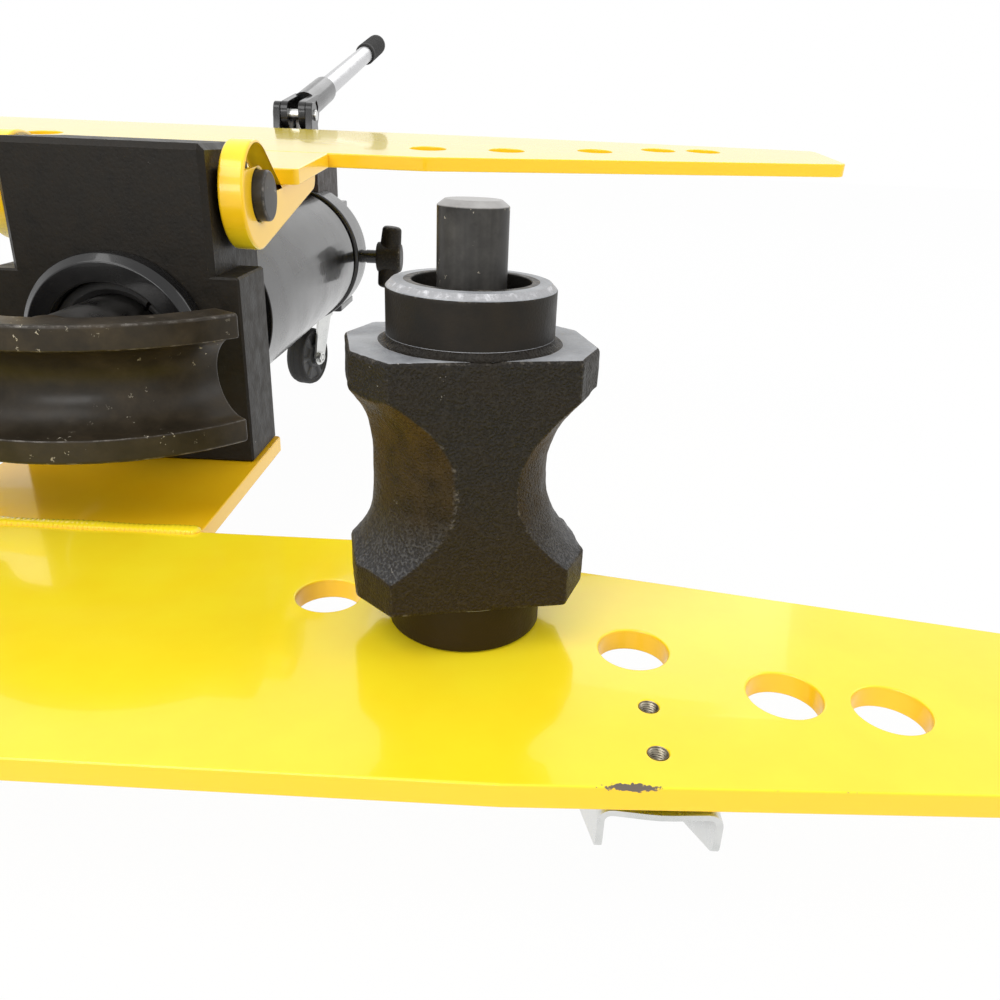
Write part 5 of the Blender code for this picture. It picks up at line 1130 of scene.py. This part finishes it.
# Top plate with its pressed bearing cup, the fork, the wheel and its axle set, and the base plate above them
def buildRearCaster():
    r = rear
    low, high, middle, size = boxOf("rear_caster_top_plate")
    x, y, thickness = r["plate"]
    top, depth, cupRadius = (middle[0], middle[1], high[2]), size[2], r["cup"]
    plate = platePiece([rectangle(x / 2, y / 2, r["plateCorner"])], -thickness, 0, 0.0006, frameAt(top))
    cup = lathe([(0, 0.0028, 0), (cupRadius - 0.003, 0.0028, 0), (cupRadius - 0.0014, depth * 0.55, 0.002),
                 (cupRadius, depth - 0.0004, 0.0006), (cupRadius - 0.001, depth, 0.0005), (0, depth, 0)],
                frameAt(top, (0, 0, -1)))
    makePiece("caster_rear_plate", [plate, cup], zincPlate, "frame", "rear_caster_top_plate")
    roundedCopy("caster_rear_fork", "rear_caster_fork", zincPlate, "rear_fork", 0.0007)
    turn = math.radians(r["turn"])
    along = np.array([math.cos(turn), math.sin(turn), 0])
    centre = np.array([-math.sin(turn) * r["trail"], middle[1] + math.cos(turn) * r["trail"], r["radius"]])
    wheelPieces("caster_rear", r["radius"], r["width"], frameAt(centre, along, np.cross((0, 0, 1), along)),
                "rear_wheel", "rear_caster_wheel")
    axleSet("caster_rear_axle", centre, along, r["grip"], "rear_fork", "rear_caster_axle_bolt", "rear_caster_axle_nut")
    _, _, middle, size = boxOf("rear_base_plate")
    base = platePiece([rectangle(size[0] / 2, size[1] / 2, r["baseCorner"])], -size[2] / 2, size[2] / 2,
                      r["baseRounding"], frameAt(middle))
    makePiece("base_plate", [base], black, "frame", "rear_base_plate")
    print("rear caster and base plate built")


pump = {"well": 0.0093, "wellBehind": 0.548, "blockCorner": 0.004, "blockRim": 0.0016, "plugAcross": 0.0156,
        "plugHead": 0.008, "plugThread": 0.0055, "pivotRadius": 0.006, "linkRadius": 0.004}


# A pin along X with chamfered ends
def crossPin(name, node, radius, body):
    _, _, middle, size = boxOf(node)
    half, chamfer = size[0] / 2, 0.0009
    end = [(0, -half, 0), (radius - chamfer, -half, 0.0003), (radius, chamfer - half, 0.0003)]
    profile = end + [(r, -z, rounding) for r, z, rounding in reversed(end)]
    makePiece(name, [lathe(profile, facingX(middle), 48)], zincPlate, body, node)


# The valve block with the plunger's well, rounded copies of the cast and bent pieces, turned pins and a
# threaded filler plug
def buildPump():
    p = pump
    _, _, middle, size = boxOf("valve_block")
    well = circle(0, at(0, p["wellBehind"], 0)[1] - middle[1], p["well"])
    block = platePiece([rectangle(size[0] / 2, size[1] / 2, p["blockCorner"], 6), well], -size[2] / 2, size[2] / 2,
                       p["blockRim"], frameAt(middle))
    makePiece("pump_block", [block], black, "frame", "valve_block")
    for name, node, finish, body, rounding, sharp in (
            ("pump_casting", "pump_housing", castPump, "frame", 0.0018, 30),
            ("cheek_bracket", "lever_bracket", black, "frame", 0.0009, 35),
            ("forked_socket", "lever_socket", black, "lever", 0.0009, 35),
            ("plunger", "pump_plunger", groundSteel, "plunger", 0.0007, 35)):
        roundedCopy(name, node, finish, body, rounding, sharp)
    crossPin("pivot_pin", "lever_pivot_pin", p["pivotRadius"], "frame")
    crossPin("link_pin", "plunger_link_pin", p["linkRadius"], "lever")
    low, high, middle, size = boxOf("filler_plug")
    head = frameAt((middle[0], middle[1], high[2] - p["plugHead"]), (0, 0, 1), (0, 1, 0))
    stem = frameAt((middle[0], middle[1], low[2]))
    makePiece("filler_screw", [hexPiece(p["plugAcross"], p["plugHead"], head),
                               threadedRod(p["plugThread"], size[2] - 0.004, stem)], zincPlate, "filler",
              "filler_plug")
    print("pump block, housing and lever mount built")


lever = {"tilt": 12, "pivotBehind": 0.5151107583, "pivotHeight": 0.2459707, "start": 0.080, "length": 0.520,
         "radius": 0.0125, "wall": 0.0025, "gripRadius": 0.016, "gripLength": 0.120, "overhang": 0.004, "ribs": 22,
         "ribDepth": 0.0014, "collar": 0.010, "dome": 0.012}


# The grip's radius is r - d (1 - |sin|) along its ribs, between a plain collar and a domed closed end
def buildHandle():
    h = lever
    tilt = math.radians(h["tilt"])
    line = frameAt(at(0, h["pivotBehind"], h["pivotHeight"]), (0, math.cos(tilt), math.sin(tilt)))
    start, end, radius, grip = h["start"], h["start"] + h["length"], h["radius"], h["gripRadius"]
    inner, bore = radius - h["wall"], radius + gap
    tube = lathe([(inner, start, 0.0006), (radius, start, 0.0008), (radius, end, 0.0008), (inner, end, 0.0006)],
                 line, 64, True)
    makePiece("handle_tube", [tube], (groundSteel[0], "zinc"), "handle", "lever_handle")
    tip = end + h["overhang"]
    begin = tip - h["gripLength"]
    ribbedFrom, ribbedTo = begin + h["collar"], tip - h["dome"]
    steps = np.linspace(0, 1, 12 * h["ribs"] + 1)
    wave = np.abs(np.sin(math.pi * h["ribs"] * steps))
    ribs = np.stack([grip - h["ribDepth"] * (1 - wave ** 0.6), ribbedFrom + (ribbedTo - ribbedFrom) * steps,
                     0.25 * wave], -1)
    head = roundedPath([(bore, begin, 0), (grip, begin, 0.0016), (grip, ribbedFrom - 0.001, 0)], closed=False)
    dome = roundedPath([(grip - 0.0004, ribbedTo + 0.001, 0), (grip - 0.0004, tip, 0.0036), (0, tip, 0),
                        (0, end + gap, 0), (bore, end + gap, 0)], closed=False)
    makePiece("handle_grip", [turned(np.concatenate([head, ribs, dome]), line, 72, True)], rubber, "handle",
              "lever_grip")
    print("handle and grip built")


knob = {"hub": 0.018, "length": 0.030, "x": 0.1153, "behind": 0.488, "height": 0.088, "root": 0.0136, "tip": 0.0115,
        "span": 0.0368, "tilt": 6, "stem": 0.008, "from": 0.0486, "to": 0.110, "socket": 0.010,
        "neck": 0.0074, "neckFrom": 0.0842, "neckTo": 0.0872}


# T-shaped knob: a turned hub and two tapered arms with domed ends, on a turned stem with a necked groove
def buildKnob():
    k = knob
    middle = at(k["x"], k["behind"], k["height"])
    half, tilt, stem, bore, floor = k["length"] / 2, math.radians(k["tilt"]), k["stem"], k["stem"] + gap, k["socket"]
    hub = lathe([(0, floor - half, 0), (bore, floor - half, 0), (bore, -half, 0.0003), (k["hub"], -half, 0.0022),
                 (k["hub"], half, 0.0042), (0, half, 0)], facingX(middle))
    arm = [(0, 0.002, 0), (k["root"], 0.002, 0), (k["tip"], k["span"], 0.0046), (0, k["span"], 0)]
    arms = [lathe(arm, frameAt(middle, (side * math.sin(tilt), 0, side * math.cos(tilt)), (0, 1, 0)), 64, arc=6)
            for side in (-1, 1)]
    makePiece("t_knob", [hub] + arms, castKnob, "release_valve", "release_knob")
    profile = [(0, k["from"], 0), (stem, k["from"], 0.0006), (stem, k["neckFrom"], 0),
               (k["neck"], k["neckFrom"] + 0.0004, 0), (k["neck"], k["neckTo"] - 0.0004, 0), (stem, k["neckTo"], 0),
               (stem, k["to"], 0.0006), (0, k["to"], 0)]
    makePiece("valve_stem", [lathe(profile, facingX(at(0, k["behind"], k["height"])), 64)], black, "release_valve",
              "release_valve_stem")
    print("release valve built")


for build in (buildWings, buildHinge, buildRollers, buildDie, buildRam, buildSeat, buildRest, buildPump, buildHandle,
              buildKnob, buildFrontCasters, buildRearCaster):
    build()

# the solids wear the finish of their slot
bySlot = black, zincPlate, rubber, groundSteel, pinSteel, castSeat, yellow, sealRed
finishes = {slotName: material for material, slotName in bySlot}
slotOf = {part["node"]: part["material_slot"] for part in frame["record"]["subparts"]}
for name, item in frame["nodes"].items():
    item.data.materials.clear()
    item.data.materials.append(finishes[slotOf[name]])

camera = {"x": 0.285, "ahead": 0.586, "height": 0.2344, "yaw": -0.0164, "pitch": 0.4105, "roll": 0.0415,
          "focal": 840.57, "across": 501.97, "down": 499.65, "frame": 1000.0, "sensor": 36.0}


# The camera's axes: forward is the yawed direction tipped down by the pitch, and the picture is rolled about it
def placeCamera():
    c = camera
    yaw, pitch, roll = c["yaw"], c["pitch"], c["roll"]
    right = Vector((math.cos(yaw), -math.sin(yaw), 0))
    level = Vector((math.sin(yaw), math.cos(yaw), 0))
    up = Vector((0, 0, 1))
    forward = level * math.cos(pitch) - up * math.sin(pitch)
    down = -up * math.cos(pitch) - level * math.sin(pitch)
    pictureRight = right * math.cos(roll) - down * math.sin(roll)
    pictureDown = right * math.sin(roll) + down * math.cos(roll)
    data = bpy.data.cameras.new("camera")
    data.sensor_width = c["sensor"]
    data.lens = c["focal"] / c["frame"] * c["sensor"]
    data.shift_x = (c["frame"] / 2 - c["across"]) / c["frame"]
    data.shift_y = (c["down"] - c["frame"] / 2) / c["frame"]
    data.clip_end = 60.0
    item = newObject("camera", data)
    turn = Matrix((pictureRight, -pictureDown, -forward)).transposed()
    item.matrix_world = Matrix.Translation(Vector(at(c["x"], -c["ahead"], c["height"]))) @ turn.to_4x4()
    bpy.context.scene.camera = item


# each lamp's name, place, size and power
lights = {"worldStrength": 0.82, "background": 1.0, "aim": (0.1, 0, 0.05),
          "lamps": (("key", (-0.9, -1.6, 2.4), (1.8, 1.4), 27.0), ("side", (2.2, -0.5, 1.3), (1.2, 1.6), 11.0),
                    ("front", (-0.4, -2.4, 0.9), (1.4, 0.5), 12.0), ("back", (0.6, 2.6, 1.8), (2.0, 1.0), 6.0))}
floorLook = {"half": 8.0, "glow": 0.97, "colour": (0.86, 0.86, 0.86, 1)}
white = (1, 1, 1, 1)


# 1 where the camera, a reflection or glass sees a surface, 0 where the surface lights the object
def seenDirectly(tree):
    paths = add(tree, "LightPath").outputs
    seen = calc(tree, "MAXIMUM", paths["Is Camera Ray"], paths["Is Glossy Ray"])
    return calc(tree, "MAXIMUM", seen, paths["Is Transmission Ray"])


# Pale world: what the camera and a reflection see is white, what lights the object is plainer
def placeLights():
    scene = bpy.context.scene
    scene.view_settings.view_transform = "Standard"
    scene.world = bpy.data.worlds.new("studio")
    scene.world.use_nodes = True
    tree = scene.world.node_tree
    background = tree.nodes["Background"].inputs
    background["Color"].default_value = white
    strength = blendValue(tree, seenDirectly(tree), lights["worldStrength"], lights["background"])
    tree.links.new(strength, background["Strength"])
    aim = Vector(at(*lights["aim"]))
    for name, place, size, power in lights["lamps"]:
        data = bpy.data.lights.new(name, "AREA")
        data.shape = "RECTANGLE"
        data.size, data.size_y = size
        data.energy = power
        item = newObject(name, data)
        item.location = place
        item.rotation_euler = (aim - Vector(place)).to_track_quat("-Z", "Y").to_euler()


# Floor: a wide pale sheet whose camera view is mostly white light, so that only soft shadows show on it
def placeFloor():
    half = floorLook["half"]
    mesh = bpy.data.meshes.new("floor")
    mesh.from_pydata([(-half, -half, 0), (half, -half, 0), (half, half, 0), (-half, half, 0)], [], [(0, 1, 2, 3)])
    material = bpy.data.materials.new("pale_floor")
    material.use_nodes = True
    tree = material.node_tree
    tree.nodes.clear()
    share = calc(tree, "MULTIPLY", seenDirectly(tree), floorLook["glow"])
    diffuse = add(tree, "BsdfDiffuse", {"Color": floorLook["colour"]})
    glow = add(tree, "Emission", {"Color": white, "Strength": 1.0})
    mix = add(tree, "MixShader", {0: share, 1: diffuse.outputs[0], 2: glow.outputs[0]})
    add(tree, "OutputMaterial", {"Surface": mix.outputs[0]})
    mesh.materials.append(material)
    newObject("floor", mesh)


placeCamera()
placeLights()
placeFloor()
print("camera, lights and floor placed")
